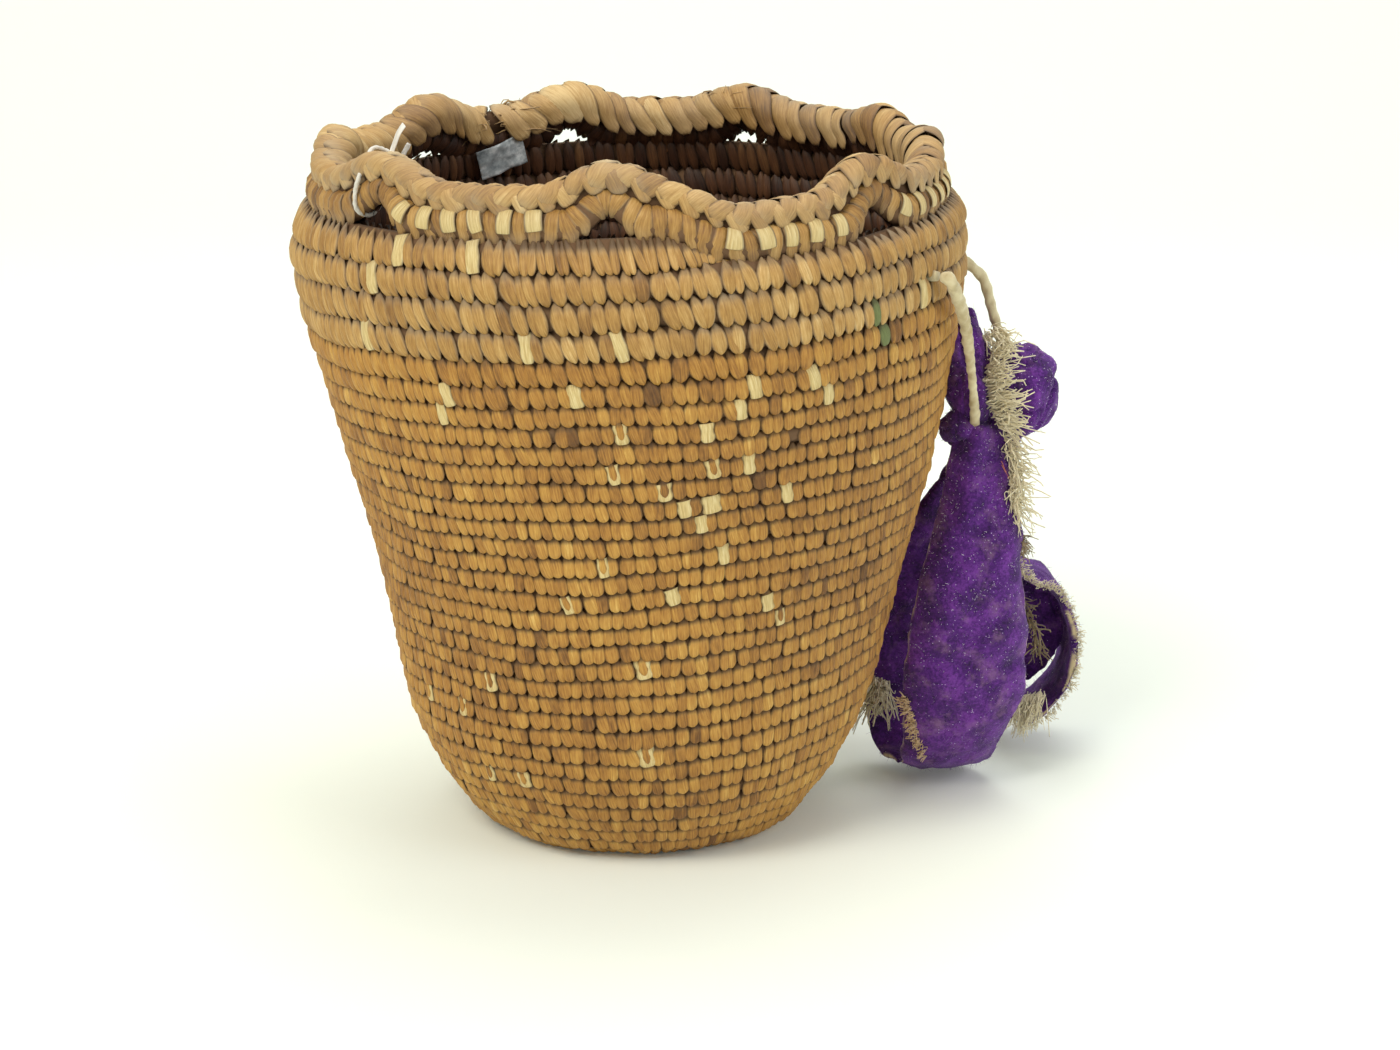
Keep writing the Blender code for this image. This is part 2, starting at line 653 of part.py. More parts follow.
SIDE_CURL = (
    ((0.0267, 0.0364, -0.0597), 0.0070, 0.0, 0.0),
    ((0.0262, 0.0424, -0.0717), 0.0080, 0.0, 0.0),
    ((0.0252, 0.0534, -0.0897), 0.0095, 0.0, 0.0),
    ((0.0262, 0.0654, -0.1097), 0.0120, 0.0, 0.0),
    ((0.0352, 0.0764, -0.1267), 0.0140, 0.0, 0.0),
    ((0.0472, 0.0824, -0.1357), 0.0150, 0.0, 0.0),
    ((0.0552, 0.0844, -0.1517), 0.0150, 0.0, 0.0),
    ((0.0532, 0.0854, -0.1727), 0.0150, 0.0, 0.0),
    ((0.0412, 0.0854, -0.1867), 0.0150, 0.0, 0.0),
    ((0.0282, 0.0844, -0.1817), 0.0140, 0.0, 0.0),
    ((0.0232, 0.0834, -0.1667), 0.0120, 0.0, 0.0),
)


def strip(name, stations, shade, collection, across_y=False, grow=0.0, step=0.012):
    """A hanging strip of cloth: a bulging surface through its stations, thickened."""
    middles = smooth([strap_pivot + Vector(s[0]) for s in stations], step)
    sizes = read_along(stations, middles)
    middles[0] += (middles[0] - middles[1]).normalized() * grow
    middles[-1] += (middles[-1] - middles[-2]).normalized() * grow
    mesh = bpy.data.meshes.new(name)
    shape = bmesh.new()
    lines = []
    for i, middle in enumerate(middles):
        half_width, bulge, facing = sizes[i]
        along = (middles[min(i + 1, len(middles) - 1)] - middles[max(i - 1, 0)]).normalized()
        if across_y:
            across = Vector((0.0, 1.0, 0.0))
        else:
            across = Vector((-sin(radians(facing)), cos(radians(facing)), 0.0))
        across = (across - along * across.dot(along)).normalized()
        normal = along.cross(across).normalized()
        line = []
        for share in (-1.0, -0.5, 0.0, 0.5, 1.0):
            point = middle + across * (half_width + grow) * share + normal * bulge * (1 - share ** 2)
            line.append(shape.verts.new(point))
        lines.append(line)
    for above, below in zip(lines, lines[1:]):
        for i in range(len(above) - 1):
            shape.faces.new((above[i], above[i + 1], below[i + 1], below[i]))
    bmesh.ops.recalc_face_normals(shape, faces=shape.faces)
    shape.to_mesh(mesh)
    shape.free()
    mesh.shade_smooth()
    made = add(name, mesh, shade, collection)
    thick = made.modifiers.new("thickness", "SOLIDIFY")
    thick.thickness = CLOTH_THICKNESS + 2 * grow
    thick.offset = 0.0
    return made


def read_along(stations, middles):
    """Half width, bulge and facing for each point of the smooth curve through the stations."""
    known = measure([Vector(s[0]) for s in stations])
    made = []
    at = 0
    lengths = measure(middles)
    scale = known[-1] / lengths[-1]
    for length in lengths:
        place_on = length * scale
        while at < len(known) - 2 and place_on > known[at + 1]:
            at += 1
        share = (place_on - known[at]) / (known[at + 1] - known[at])
        low, high = stations[at], stations[at + 1]
        made.append([low[k] + (high[k] - low[k]) * share for k in (1, 2, 3)])
    return made


def build_strap(wool, cord, parts, cutters):
    made = []
    legs = []
    for name, hole, route in (("cord_leg_left", left_hole, LEFT_LEG),
                              ("cord_leg_right", right_hole, RIGHT_LEG)):
        made.append(cord_leg(name, hole, route, cord, parts))
        legs.append(as_mesh(cord_leg(name + "_cutter", hole, route, None, cutters, CLOTH_GAP)))
    upper = ball("cloth_upper_fold", *UPPER_FOLD, wool, parts)
    lobe = ball("cloth_right_lobe", *RIGHT_LOBE, wool, parts)
    knot = ball("cloth_knot", *KNOT, wool, parts)
    upper_cutter = ball("upper_fold_cutter", *UPPER_FOLD, None, cutters, CLOTH_GAP)
    knot_cutter = ball("knot_cutter", *KNOT, None, cutters, CLOTH_GAP)
    lobe_cutter = ball("right_lobe_cutter", *RIGHT_LOBE, None, cutters, CLOTH_GAP)
    for leg in legs:
        for fold in (upper, lobe, knot):
            cut(fold, leg)
    cut(upper, knot_cutter)
    cut(lobe, upper_cutter)
    cut(lobe, knot_cutter)
    front = strip("cloth_front_fall", FRONT_FALL, wool, parts)
    front_cutter = strip("front_fall_cutter", FRONT_FALL, None, cutters, grow=2 * CLOTH_GAP)
    rear = strip("cloth_rear_fall", REAR_FALL, wool, parts)
    curl = strip("cloth_side_curl", SIDE_CURL, wool, parts, across_y=True)
    cut(front, knot_cutter)
    cut(rear, front_cutter)
    cut(rear, knot_cutter)
    cut(curl, lobe_cutter)
    made += [upper, lobe, knot, front, rear, curl]
    return made


def build_tape(tape, parts):
    bpy.ops.mesh.primitive_cube_add(size=1.0)
    made = bpy.context.active_object
    made.name = "inner_tape"
    made.scale = TAPE_SIZE
    bpy.ops.object.transform_apply(location=False, rotation=False, scale=True)
    length = wall.length - TAPE_DROP
    inward = tube_radius(RIM_ROW) + TAPE_GAP + TAPE_SIZE[2] / 2
    half_turn = TAPE_SIZE[0] / 2 / MOUTH_RADIUS
    right, left = (on_wall(length, radians(TAPE_ANGLE) + turn, -inward) for turn in (-half_turn, half_turn))
    made.location = left.lerp(right, 0.5)
    made.rotation_mode = "QUATERNION"
    heading = atan2(right.y - left.y, right.x - left.x)
    facing = (Quaternion((0.0, 0.0, 1.0), heading)
              @ Quaternion((1.0, 0.0, 0.0), pi / 2 + radians(RIM_LEAN)))
    made.rotation_quaternion = facing @ Quaternion((0.0, 0.0, 1.0), radians(TAPE_TILT))
    made.data.materials.append(tape)
    move_to(made, parts)


def build_string(thread, parts):
    """A thread looped through the left arch and round the rim, with a tail inside the mouth."""
    rim = Rim(radians(STRING_ANGLE))
    low, high = rim.coil_centre(), rim.braid_centre()
    outward, up = rim.outward, rim.up
    inward, upright = Vector((-cos(rim.angle), -sin(rim.angle), 0.0)), Vector((0.0, 0.0, 1.0))
    reach = max(RIM_BRAID_RADIUS, rim.coil_radius) + STRING_CLEARANCE + STRING_RADIUS
    under = rim.coil_radius + STRING_CLEARANCE + STRING_RADIUS
    route = [
        high + inward * STRING_TAIL[0] + upright * STRING_TAIL[1],
        high + inward * STRING_TAIL[0] * 0.67 + upright * STRING_TAIL[1] * 0.36,
        high - outward * reach,
        low - outward * reach,
        low - outward * under * 0.5 - up * under,
        low + outward * under * 0.5 - up * under,
        low + outward * reach,
        high + outward * reach,
        high + outward * reach * 0.6 + up * reach,
        high - outward * reach * 0.6 + up * reach,
    ]
    points = smooth(route, 0.0035)
    tube("tag_string", points, [STRING_RADIUS] * len(points), thread, parts, twist="MINIMUM")


def main():
    for old in list(bpy.data.objects):
        bpy.data.objects.remove(old)
    parts = new_collection(COLLECTION)
    cutters = new_collection("cutters")
    root = material("split_cedar_root", "A9763F", 0.62)
    wool = material("purple_wool_cloth", "4B1E86", 0.95)
    cord = material("cotton_cord", "CDBE95", 0.9)
    tape = material("grey_tape", "8B9294", 0.45)
    thread = material("white_thread", "E8E4DA", 0.8)
    bands = build_coil(root, parts, cutters)
    band = cut_lacing_holes(bands[-1], cutters)
    band.data.materials.append(root)
    build_base_knot(root, parts)
    build_rim(root, parts)
    build_tape(tape, parts)
    build_string(thread, parts)
    build_lacing_cord(cord, parts)
    pivot = bpy.data.objects.new("strap_pivot", None)
    pivot.location = strap_pivot
    parts.objects.link(pivot)
    bpy.context.view_layer.update()
    for made in build_strap(wool, cord, parts, cutters):
        made.parent = pivot
        made.matrix_parent_inverse = pivot.matrix_world.inverted()
    axis = (right_hole.pivot - left_hole.pivot).normalized()
    print("strap axis at", [round(v, 5) for v in pivot.location], "along", [round(v, 5) for v in axis])


main()
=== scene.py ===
"""The coiled root basket with its wool strap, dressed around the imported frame.

Metres, +Z up. The front is -Y and the strap hangs on +X. The wall's formulas are those of the
part, so each stitch lies on the row of the coil that it wraps.
"""
from math import ceil, cos, pi, radians, sin

import bmesh
import bpy
import numpy as np
from mathutils import Matrix, Vector, noise


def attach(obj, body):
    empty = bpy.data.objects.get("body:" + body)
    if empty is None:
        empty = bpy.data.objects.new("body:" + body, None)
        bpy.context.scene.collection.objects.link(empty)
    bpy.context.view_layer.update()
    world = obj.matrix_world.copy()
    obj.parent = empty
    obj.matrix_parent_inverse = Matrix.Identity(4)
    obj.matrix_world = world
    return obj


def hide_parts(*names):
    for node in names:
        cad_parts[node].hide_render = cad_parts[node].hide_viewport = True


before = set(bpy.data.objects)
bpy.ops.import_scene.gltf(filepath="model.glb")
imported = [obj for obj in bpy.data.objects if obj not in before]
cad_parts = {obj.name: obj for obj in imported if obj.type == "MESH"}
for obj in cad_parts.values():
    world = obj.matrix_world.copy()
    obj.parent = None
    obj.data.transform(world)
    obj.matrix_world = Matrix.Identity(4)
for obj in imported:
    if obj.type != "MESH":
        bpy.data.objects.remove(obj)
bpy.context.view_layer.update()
MM = 0.001

# Camera: its place, its turn from +Y and its dip, and its focal length in the photograph's pixels
PHOTO_WIDTH, PHOTO_HEIGHT = 1400, 1050
CAMERA_PLACE = Vector((0.01516, -0.9845, 0.3860))
CAMERA_YAW, CAMERA_DIP = 0.0067, 0.2793
FOCAL_PIXELS = 2903.98
SENSOR_WIDTH = 36.0


# Colours and materials

def linear(hex_colour):
    """Turn an sRGB hex colour into the linear colour that a shader takes."""
    channels = [int(hex_colour[i:i + 2], 16) / 255 for i in (0, 2, 4)]
    return [c / 12.92 if c <= 0.04045 else ((c + 0.055) / 1.055) ** 2.4 for c in channels] + [1.0]


def add_node(tree, kind, inputs=None, stops=(), out=0, **settings):
    """Add a node and return an output; an input takes a value, or a socket that is linked to it."""
    made = tree.nodes.new("ShaderNode" + kind)
    for name, value in settings.items():
        setattr(made, name, value)
    for name, value in (inputs or {}).items():
        if isinstance(value, bpy.types.NodeSocket):
            tree.links.new(value, made.inputs[name])
        else:
            made.inputs[name].default_value = value
    for i, (place, colour) in enumerate(stops):
        elements = made.color_ramp.elements
        element = elements[i] if i < 2 else elements.new(place)
        element.position = place
        element.color = linear(colour)
    return made.outputs[out]


def new_material(name, roughness, colour=None, **uniform):
    """A material whose uniform colour and numbers stand on the shader's own sockets."""
    made = bpy.data.materials.new(name)
    made.use_nodes = True
    sockets = made.node_tree.nodes["Principled BSDF"].inputs
    sockets["Roughness"].default_value = roughness
    if colour:
        sockets["Base Color"].default_value = linear(colour)
    for socket, value in uniform.items():
        sockets[socket.replace("_", " ")].default_value = value
    return made


def finish_material(made, colour, layers, relief, strength, depth):
    """Lay more colours over a colour, each where its amount says, and add the fine relief."""
    tree = made.node_tree
    for amount, over in layers:
        colour = add_node(tree, "Mix", {0: amount, 6: colour, 7: over}, out=2, data_type="RGBA")
    bump = add_node(tree, "Bump", {"Strength": strength, "Distance": depth, "Height": relief})
    sockets = tree.nodes["Principled BSDF"].inputs
    tree.links.new(colour, sockets["Base Color"])
    tree.links.new(bump, sockets["Normal"])
    return made


def root_material(name, stops, pale, dust, dust_amount, shadow="3A2410"):
    """Split root or bark: long fibres, its own tone for each splint, dust low in the seams, and
    painted shade there and under the row above.
    """
    made = new_material(name, 0.6)
    tree = made.node_tree
    tone, pale_tab, depth, worn = (add_node(tree, "Attribute", out="Fac", attribute_name=label)
                                   for label in ("tone", "pale", "depth", "worn"))
    grain = add_node(tree, "Attribute", out="Vector", attribute_name="grain")
    # fibres 0.45 mm wide and a few mm long; grain is in millimetres
    place = add_node(tree, "Mapping", {"Vector": grain, "Scale": (2.2, 0.15, 1.0)})
    fibres = add_node(tree, "TexNoise", {"Vector": place, "Scale": 1.0, "Detail": 4.0,
                                         "Roughness": 0.65})
    place = add_node(tree, "Mapping", {"Vector": grain, "Scale": (0.35, 0.22, 1.0)})
    blotch = add_node(tree, "TexNoise", {"Vector": place, "Scale": 1.0, "Detail": 2.0})
    streaked = add_node(tree, "Math", {0: fibres, 1: tone}, operation="ADD")
    blotched = add_node(tree, "Math", {0: blotch, 1: 0.35, 2: streaked}, operation="MULTIPLY_ADD")
    shade = add_node(tree, "Math", {0: blotched, 1: 0.675}, operation="SUBTRACT", use_clamp=True)
    body = add_node(tree, "ValToRGB", {0: shade}, stops)
    pale_body = add_node(tree, "ValToRGB", {0: fibres}, pale)
    place = add_node(tree, "TexCoord", out="Object")
    cloud = add_node(tree, "TexNoise", {"Vector": place, "Scale": 38.0, "Detail": 3.0})
    cloud = add_node(tree, "MapRange", {0: cloud, 1: 0.35, 2: 0.62, 3: 0.25})
    low = add_node(tree, "MapRange", {0: depth, 1: 0.1, 2: 0.6, 4: 0.4})
    settled = add_node(tree, "Math", {0: low, 1: worn}, operation="MAXIMUM")
    for share in (cloud, dust_amount):
        settled = add_node(tree, "Math", {0: settled, 1: share}, operation="MULTIPLY", use_clamp=True)
    # painted shade: the deep parts, that is a splint's edges and ends and the steps under the row
    # above, are darkened toward the shadow colour
    dark = add_node(tree, "MapRange", {0: depth, 1: 0.30, 2: 0.72, 4: 0.80})
    layers = ((pale_tab, pale_body), (settled, linear(dust)), (dark, linear(shadow)))
    return finish_material(made, body, layers, fibres, 0.8, 0.0004)


def wool_material():
    """Napped wool: matt purple with painted highlights in lighter patches where the nap catches light,
    and lint and dust.
    """
    made = new_material("napped_purple_wool", 1.0, Sheen_Weight=0.45, Sheen_Roughness=0.45,
                        Sheen_Tint=linear("A88FC4"))
    tree = made.node_tree
    place = add_node(tree, "TexCoord", out="Object")
    tuft, patch, cloud = (
        add_node(tree, "TexNoise", {"Vector": place, "Scale": scale, "Detail": detail,
                                    "Roughness": roughness})
        for scale, detail, roughness in ((900.0, 3.0, 0.7), (120.0, 4.0, 0.5), (110.0, 6.0, 0.7)))
    level = add_node(tree, "Math", {0: tuft, 1: patch}, operation="ADD")
    level = add_node(tree, "Math", {0: level, 1: 0.5}, operation="MULTIPLY")
    # painted highlight: the light end of the wool stops, where the noise is high, stands for nap that
    # catches the light
    colour = add_node(tree, "ValToRGB", {0: level}, WOOL_STOPS)
    dusty = add_node(tree, "MapRange", {0: cloud, 1: 0.53, 2: 0.72, 4: 0.6})
    speck = add_node(tree, "TexVoronoi", {"Vector": place, "Scale": 800.0}, out="Distance")
    near = add_node(tree, "MapRange", {0: speck, 1: 0.16, 2: 0.10})
    few = add_node(tree, "SeparateColor", {0: speck.node.outputs["Color"]})
    some = add_node(tree, "Math", {0: few, 1: 0.72}, operation="GREATER_THAN")
    lint = add_node(tree, "Math", {0: near, 1: some}, operation="MULTIPLY")
    edge = add_node(tree, "Attribute", out="Fac", attribute_name="cut")
    broken = add_node(tree, "MapRange", {0: patch, 1: 0.44, 2: 0.56})
    worn = add_node(tree, "Math", {0: edge, 1: broken}, operation="MULTIPLY")
    layers = ((dusty, linear("946C94")), (lint, linear("CDBFE0")), (worn, linear("D6C498")))
    return finish_material(made, colour, layers, level, 0.9, 0.0006)


def cord_material(name, light, dark):
    """Spun cotton: soft, matt, and soiled a little unevenly."""
    made = new_material(name, 0.92, Sheen_Weight=0.25)
    tree = made.node_tree
    place = add_node(tree, "TexCoord", out="Object")
    soil = add_node(tree, "TexNoise", {"Vector": place, "Scale": 160.0, "Detail": 4.0})
    colour = add_node(tree, "ValToRGB", {0: soil}, ((0.35, dark), (0.6, light)))
    fibre = add_node(tree, "TexNoise", {"Vector": place, "Scale": 2600.0, "Detail": 2.0})
    return finish_material(made, colour, (), fibre, 0.7, 0.0003)


def tape_material():
    """Grey adhesive tape, wrinkled, with darker smears where it has been handled."""
    made = new_material("grey_tape", 0.42)
    tree = made.node_tree
    place = add_node(tree, "TexCoord", out="Object")
    smear = add_node(tree, "TexNoise", {"Vector": place, "Scale": 190.0, "Detail": 5.0,
                                        "Roughness": 0.65})
    colour = add_node(tree, "ValToRGB", {0: smear}, TAPE_STOPS)
    return finish_material(made, colour, (), smear, 0.5, 0.0004)


# Golden-brown split cedar root, wrapped and pierced: silky fibres, browner in the shade
ROOT_STOPS = ((0.0, "4E300F"), (0.3, "7A501C"), (0.55, "A8762F"), (0.8, "C29342"), (1.0, "DCB566"))
ROOT_PALE = ((0.25, "AF8F54"), (0.5, "D0B87C"), (0.75, "E6D6A4"))
wall_root = root_material("split_cedar_root_wall", ROOT_STOPS, ROOT_PALE, "A58C62", 0.40)
# The rows under the rim are browner and hold grey dust
RIM_STOPS = ((0.0, "56371A"), (0.3, "8A622E"), (0.55, "AC8242"), (0.8, "C59E5E"), (1.0, "DCBD82"))
rim_root = root_material("split_cedar_root_rim", RIM_STOPS, ROOT_PALE, "ABA08A", 0.95, "4A3522")
# Inside, the root is dark and reddish: its reddish colour, darkened as painted shade for the inside of
# the basket
INNER_SHADED_STOPS = ((0.0, "29170C"), (0.3, "432716"), (0.6, "5E3B21"), (1.0, "805A34"))
inner_root = root_material("split_cedar_root_inside_shaded", INNER_SHADED_STOPS, ROOT_PALE, "7C705C", 0.35, "20100A")
# Two stitches were dyed or stained green
GREEN_STOPS = ((0.0, "3F4A2A"), (0.5, "66713F"), (1.0, "8C9358"))
green_root = root_material("green_stained_root", GREEN_STOPS, ROOT_PALE, "8E8068", 0.3)
# The bundle of rough roots inside the stitches shows only as dark lines between them
core_root = new_material("rough_root_bundle", 0.85, "4E3419")
# Under the rim the same bundle is grey with dust
dusty_core = new_material("dusty_root_bundle", 0.9, "6E5238")
# Root torn into fibres is pale and stands out against the braid
torn_root = new_material("torn_root_fibres", 0.8, "A98A5C", Sheen_Weight=0.1)
# Deep purple wool with painted highlights in lighter patches, and a nap that is a little lighter and
# softens its outline
WOOL_STOPS = ((0.36, "280B40"), (0.5, "4D1B70"), (0.64, "743698"))
purple_wool = wool_material()
wool_nap = new_material("purple_wool_nap", 1.0, "66308A", Sheen_Weight=0.5)
# The cut edges fray into cream warp, tan where it was stitched and brown where it is soiled
cream_warp = new_material("frayed_cream_warp", 0.9, "F0E4C0", Sheen_Weight=0.3)
tan_warp = new_material("tan_edge_stitching", 0.9, "D9B88C", Sheen_Weight=0.3)
brown_warp = new_material("soiled_cream_warp", 0.9, "9C8660", Sheen_Weight=0.3)
# Lint gives the cloth pale specks, and two stray fibres are orange
white_lint = new_material("white_lint", 0.9, "DDD6E2", Sheen_Weight=0.3)
orange_fibre = new_material("stray_orange_fibre", 0.9, "D0703A", Sheen_Weight=0.3)
# The strap hangs from cream cord, and the thread is whiter
cotton = cord_material("spun_cotton_cord", "D8CBA4", "B8A67C")
white_cotton = cord_material("white_cotton_thread", "EEEBE2", "CFCABD")
# The tape is a dull grey that shines a little
TAPE_STOPS = ((0.35, "7C8486"), (0.5, "AEB5B5"), (0.62, "E0E4E2"))
grey_tape = tape_material()


# The wall: the part's own formulas

WALL_HEIGHT = 0.225
BASE_RADIUS = 0.0450
MOUTH_RADIUS = 0.1146
BASE_FLAT = 0.0005
OUTLINE = (
    (0.108, 0.0036), (0.198, 0.0204), (0.287, 0.0542), (0.408, 0.1111), (0.526, 0.2000),
    (0.618, 0.3333), (0.734, 0.4889), (0.872, 0.6667), (0.971, 0.8222), (1.001, 0.9111),
    (1.000, 1.0000),
)
# By share of the wall's height: its lean toward +X, its skew, how far it is drawn in toward the
# rim, and how much of the tilt of the rim it takes
LEAN = ((0.0, 0.0), (0.267, 0.0015), (0.533, 0.0027), (0.756, 0.0008), (1.0, -0.0038))
SKEW = ((0.0, 0.0), (0.267, 0.050), (0.8, 0.050), (1.0, 0.030))
DRAWN_IN = ((0.0, 0.0), (0.93, 0.0), (0.96, 0.0012), (1.0, 0.0050), (1.2, 0.0230))
TOP_TILT = ((0.0, 0.0), (0.93, 0.0), (1.0, 1.0))
FRONT_SINK, BACK_RISE = 0.016, 0.026
ROW, RIM_ROW, RIM_ROWS_DEPTH, ROW_GROWTH, ROW_GAP = 0.00655, 0.0095, 0.026, 0.030, 0.00045
COIL_END_ANGLE, COIL_END_RISE, STEP_DOWN = -83.4, 0.175, 14.0
REAR_ANGLE, REAR_SPAN, REAR_SAG = 137.0, 24.0, 0.0036
STEPS_PER_TURN = 64
FLAT_SHARE = cos(pi / 6)


def smooth(points, step):
    """Points about a step apart on a smooth curve; numbers after a point's place go with it."""
    points = np.array(points, float)
    ends = np.vstack([2 * points[0] - points[1], points, 2 * points[-1] - points[-2]])
    made = []
    for before, start, stop, after in zip(ends, ends[1:], ends[2:], ends[3:]):
        pieces = max(1, ceil(np.linalg.norm((stop - start)[:3]) / step))
        t = (np.arange(pieces) / pieces)[:, None]
        made.append(0.5 * (2 * start + (stop - before) * t
                           + (2 * before - 5 * start + 4 * stop - after) * t ** 2
                           + (3 * start - before - 3 * stop + after) * t ** 3))
    return np.vstack(made + [points[-1:]])


def measure(points):
    """The length reached at each point of a line."""
    steps = np.linalg.norm(np.diff(points, axis=0), axis=1)
    return np.concatenate([[0.0], np.cumsum(steps)])


def row_height(length, whole):
    growth = (RIM_ROWS_DEPTH + ROW_GROWTH - (whole - length)) / ROW_GROWTH
    return ROW + (RIM_ROW - ROW) * np.clip(growth, 0.0, 1.0)


def trace_wall():
    """The middle of the wall's thickness by length: radius, height and outward normal."""
    flat = [(share * BASE_RADIUS, -BASE_FLAT) for share in (0.0, 0.5, 1.0)]
    breadth = MOUTH_RADIUS - BASE_RADIUS
    side = [(BASE_RADIUS + breadth * out, WALL_HEIGHT * up) for out, up in OUTLINE]
    outer = smooth(flat + side, 0.001)
    reached = measure(outer)
    along = np.gradient(outer, axis=0)
    along /= np.linalg.norm(along, axis=1)[:, None]
    inward = np.stack([-along[:, 1], along[:, 0]], axis=1)
    half = (row_height(reached, reached[-1]) - ROW_GAP) / 2 / FLAT_SHARE
    middle = outer + inward * half[:, None]
    return middle, measure(middle), -inward


wall_middle, wall_lengths, wall_normals = trace_wall()
WALL_LENGTH = wall_lengths[-1]


def spiral_table():
    """Lengths along the wall that the spiral reaches, at equal steps of a turn."""
    table = [0.0]
    while table[-1] < WALL_LENGTH:
        table.append(table[-1] + float(row_height(table[-1], WALL_LENGTH)) / STEPS_PER_TURN)
    return np.array(table)


spiral = spiral_table()
spiral_turns = np.arange(len(spiral)) / STEPS_PER_TURN
RIM_TURN = np.searchsorted(spiral, WALL_LENGTH, side="right") / STEPS_PER_TURN
LAST_TURN = RIM_TURN - 0.5 + COIL_END_RISE
START_ANGLE = radians(COIL_END_ANGLE) - 2 * pi * LAST_TURN


def reach(turn):
    """The length that the spiral reaches at a turn. It goes on evenly past the wall's height."""
    past = np.maximum(turn - spiral_turns[-1], 0.0)
    return np.interp(turn, spiral_turns, spiral) + RIM_ROW * past


def rim_foot(angle):
    """The length up the wall at which the rim stands: the top of the last row at an angle."""
    past_end = np.mod(angle - radians(COIL_END_ANGLE), 2 * pi)
    down = np.minimum(past_end / radians(STEP_DOWN), 1.0)
    last_row = reach(LAST_TURN - 0.5 + past_end / (2 * pi))
    return last_row + RIM_ROW * (1 - down * down * (3 - 2 * down))


def rear_share(angle):
    """How near an angle is to the arch at the rear left, from 0 to 1."""
    away = (np.degrees(angle) - REAR_ANGLE + 180) % 360 - 180
    return np.cos(np.clip(away / REAR_SPAN, -1, 1) * pi / 2) ** 2


def coil_at(turn):
    """Angle, length along the wall and half the height of the row at a turn of the spiral."""
    angle = START_ANGLE + 2 * pi * turn
    low, high = reach(turn - 0.5), reach(turn + 0.5)
    # past its end the last row runs out as a wedge under the rim that comes down over it
    high = np.where(turn > LAST_TURN, np.minimum(high, rim_foot(angle)), high)
    return angle, (low + high) / 2, np.maximum((high - low) / 2, 0.0002)


def shares(pairs, place):
    return np.interp(place, [p for p, _ in pairs], [v for _, v in pairs])


def wobble(length, angle):
    """Hand-made unevenness: how far the rows wander up and down, and the wall in and out."""
    up = (0.45 * np.sin(3 * angle + 31 * length) + 0.32 * np.sin(7 * angle - 57 * length + 1.3)
          + 0.22 * np.sin(13 * angle + 140 * length + 4.0))
    out = (0.35 * np.sin(4 * angle + 44 * length + 2.0) + 0.30 * np.sin(9 * angle - 83 * length)
           + 0.20 * np.sin(17 * angle + 260 * length + 0.7))
    fade = np.clip(length / 0.06, 0.0, 1.0) * np.clip((WALL_LENGTH - length) / 0.012, 0.15, 1.0)
    return up * MM * fade, out * MM * fade


def leaned(radius, height, angle):
    """Points of the leaning, skewed wall from their upright radius, height and angle."""
    up = height / WALL_HEIGHT
    radius = radius - shares(DRAWN_IN, up)
    x, y = radius * np.cos(angle), radius * np.sin(angle)
    tilt = shares(TOP_TILT, up) * np.where(y > 0, BACK_RISE, FRONT_SINK)
    return np.stack([x + shares(LEAN, up), y, height + shares(SKEW, up) * x + tilt * y], axis=-1)


SOLE = 0.1 * MM  # the height over the floor at which the base is worn flat


def wall_radius(length):
    return np.interp(length, wall_lengths, wall_middle[:, 0])


def on_wall(length, angle, out):
    """Points of the wall, a distance outside the middle of its thickness."""
    up_shift, out_shift = wobble(length, angle)
    past = np.maximum(length - WALL_LENGTH, 0.0)
    length = np.clip(length + up_shift, 0.0, WALL_LENGTH)
    normal_r, normal_z = (np.interp(length, wall_lengths, column) for column in wall_normals.T)
    out = out + out_shift
    radius = wall_radius(length) + normal_r * out - normal_z * past
    height = np.interp(length, wall_lengths, wall_middle[:, 1]) + normal_z * out + normal_r * past
    points = leaned(radius, height, angle)
    points[..., 2] = np.maximum(points[..., 2], SOLE)
    return points


# The camera, and where it sees things

def in_photo(points):
    """Where points show in the photograph, in pixels."""
    ahead = np.array([sin(CAMERA_YAW) * cos(CAMERA_DIP), cos(CAMERA_YAW) * cos(CAMERA_DIP),
                      -sin(CAMERA_DIP)])
    right = np.array([cos(CAMERA_YAW), -sin(CAMERA_YAW), 0.0])
    away = points - np.array(CAMERA_PLACE)
    scale = FOCAL_PIXELS / (away @ ahead)
    return np.stack([PHOTO_WIDTH / 2 + scale * (away @ right),
                     PHOTO_HEIGHT / 2 - scale * (away @ np.cross(right, ahead))], axis=-1)


def place_object(name, data):
    made = bpy.data.objects.new(name, data)
    bpy.context.scene.collection.objects.link(made)
    return made


def build_camera():
    data = bpy.data.cameras.new("camera")
    data.sensor_fit = "HORIZONTAL"
    data.sensor_width = SENSOR_WIDTH
    data.lens = FOCAL_PIXELS * SENSOR_WIDTH / PHOTO_WIDTH
    made = place_object("camera", data)
    made.location = CAMERA_PLACE
    made.rotation_euler = (pi / 2 - CAMERA_DIP, 0.0, -CAMERA_YAW)
    bpy.context.scene.camera = made


build_camera()


# Lines and meshes

def unit(vectors):
    return vectors / np.maximum(np.linalg.norm(vectors, axis=-1, keepdims=True), 1e-12)


def between(place, known, values):
    """Numbers, or points, at places between those where they are known."""
    if values.ndim == 1:
        return np.interp(place, known, values)
    return np.stack([np.interp(place, known, column) for column in values.T], axis=-1)


BASKET_ROOT = ("basket", "split_cedar_root")
STRAP_WOOL = ("strap", "purple_wool_cloth")


def dress(piece, body, slot, *replaced):
    """Put a piece on the body that it rides on and hide the solids that it stands for; slot, what it
    is made of, is not used.
    """
    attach(piece, body)
    if replaced:
        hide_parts(*replaced)
    return piece


def place_mesh(name, mesh, shade):
    mesh.materials.append(shade)
    mesh.shade_smooth()
    return place_object(name, mesh)


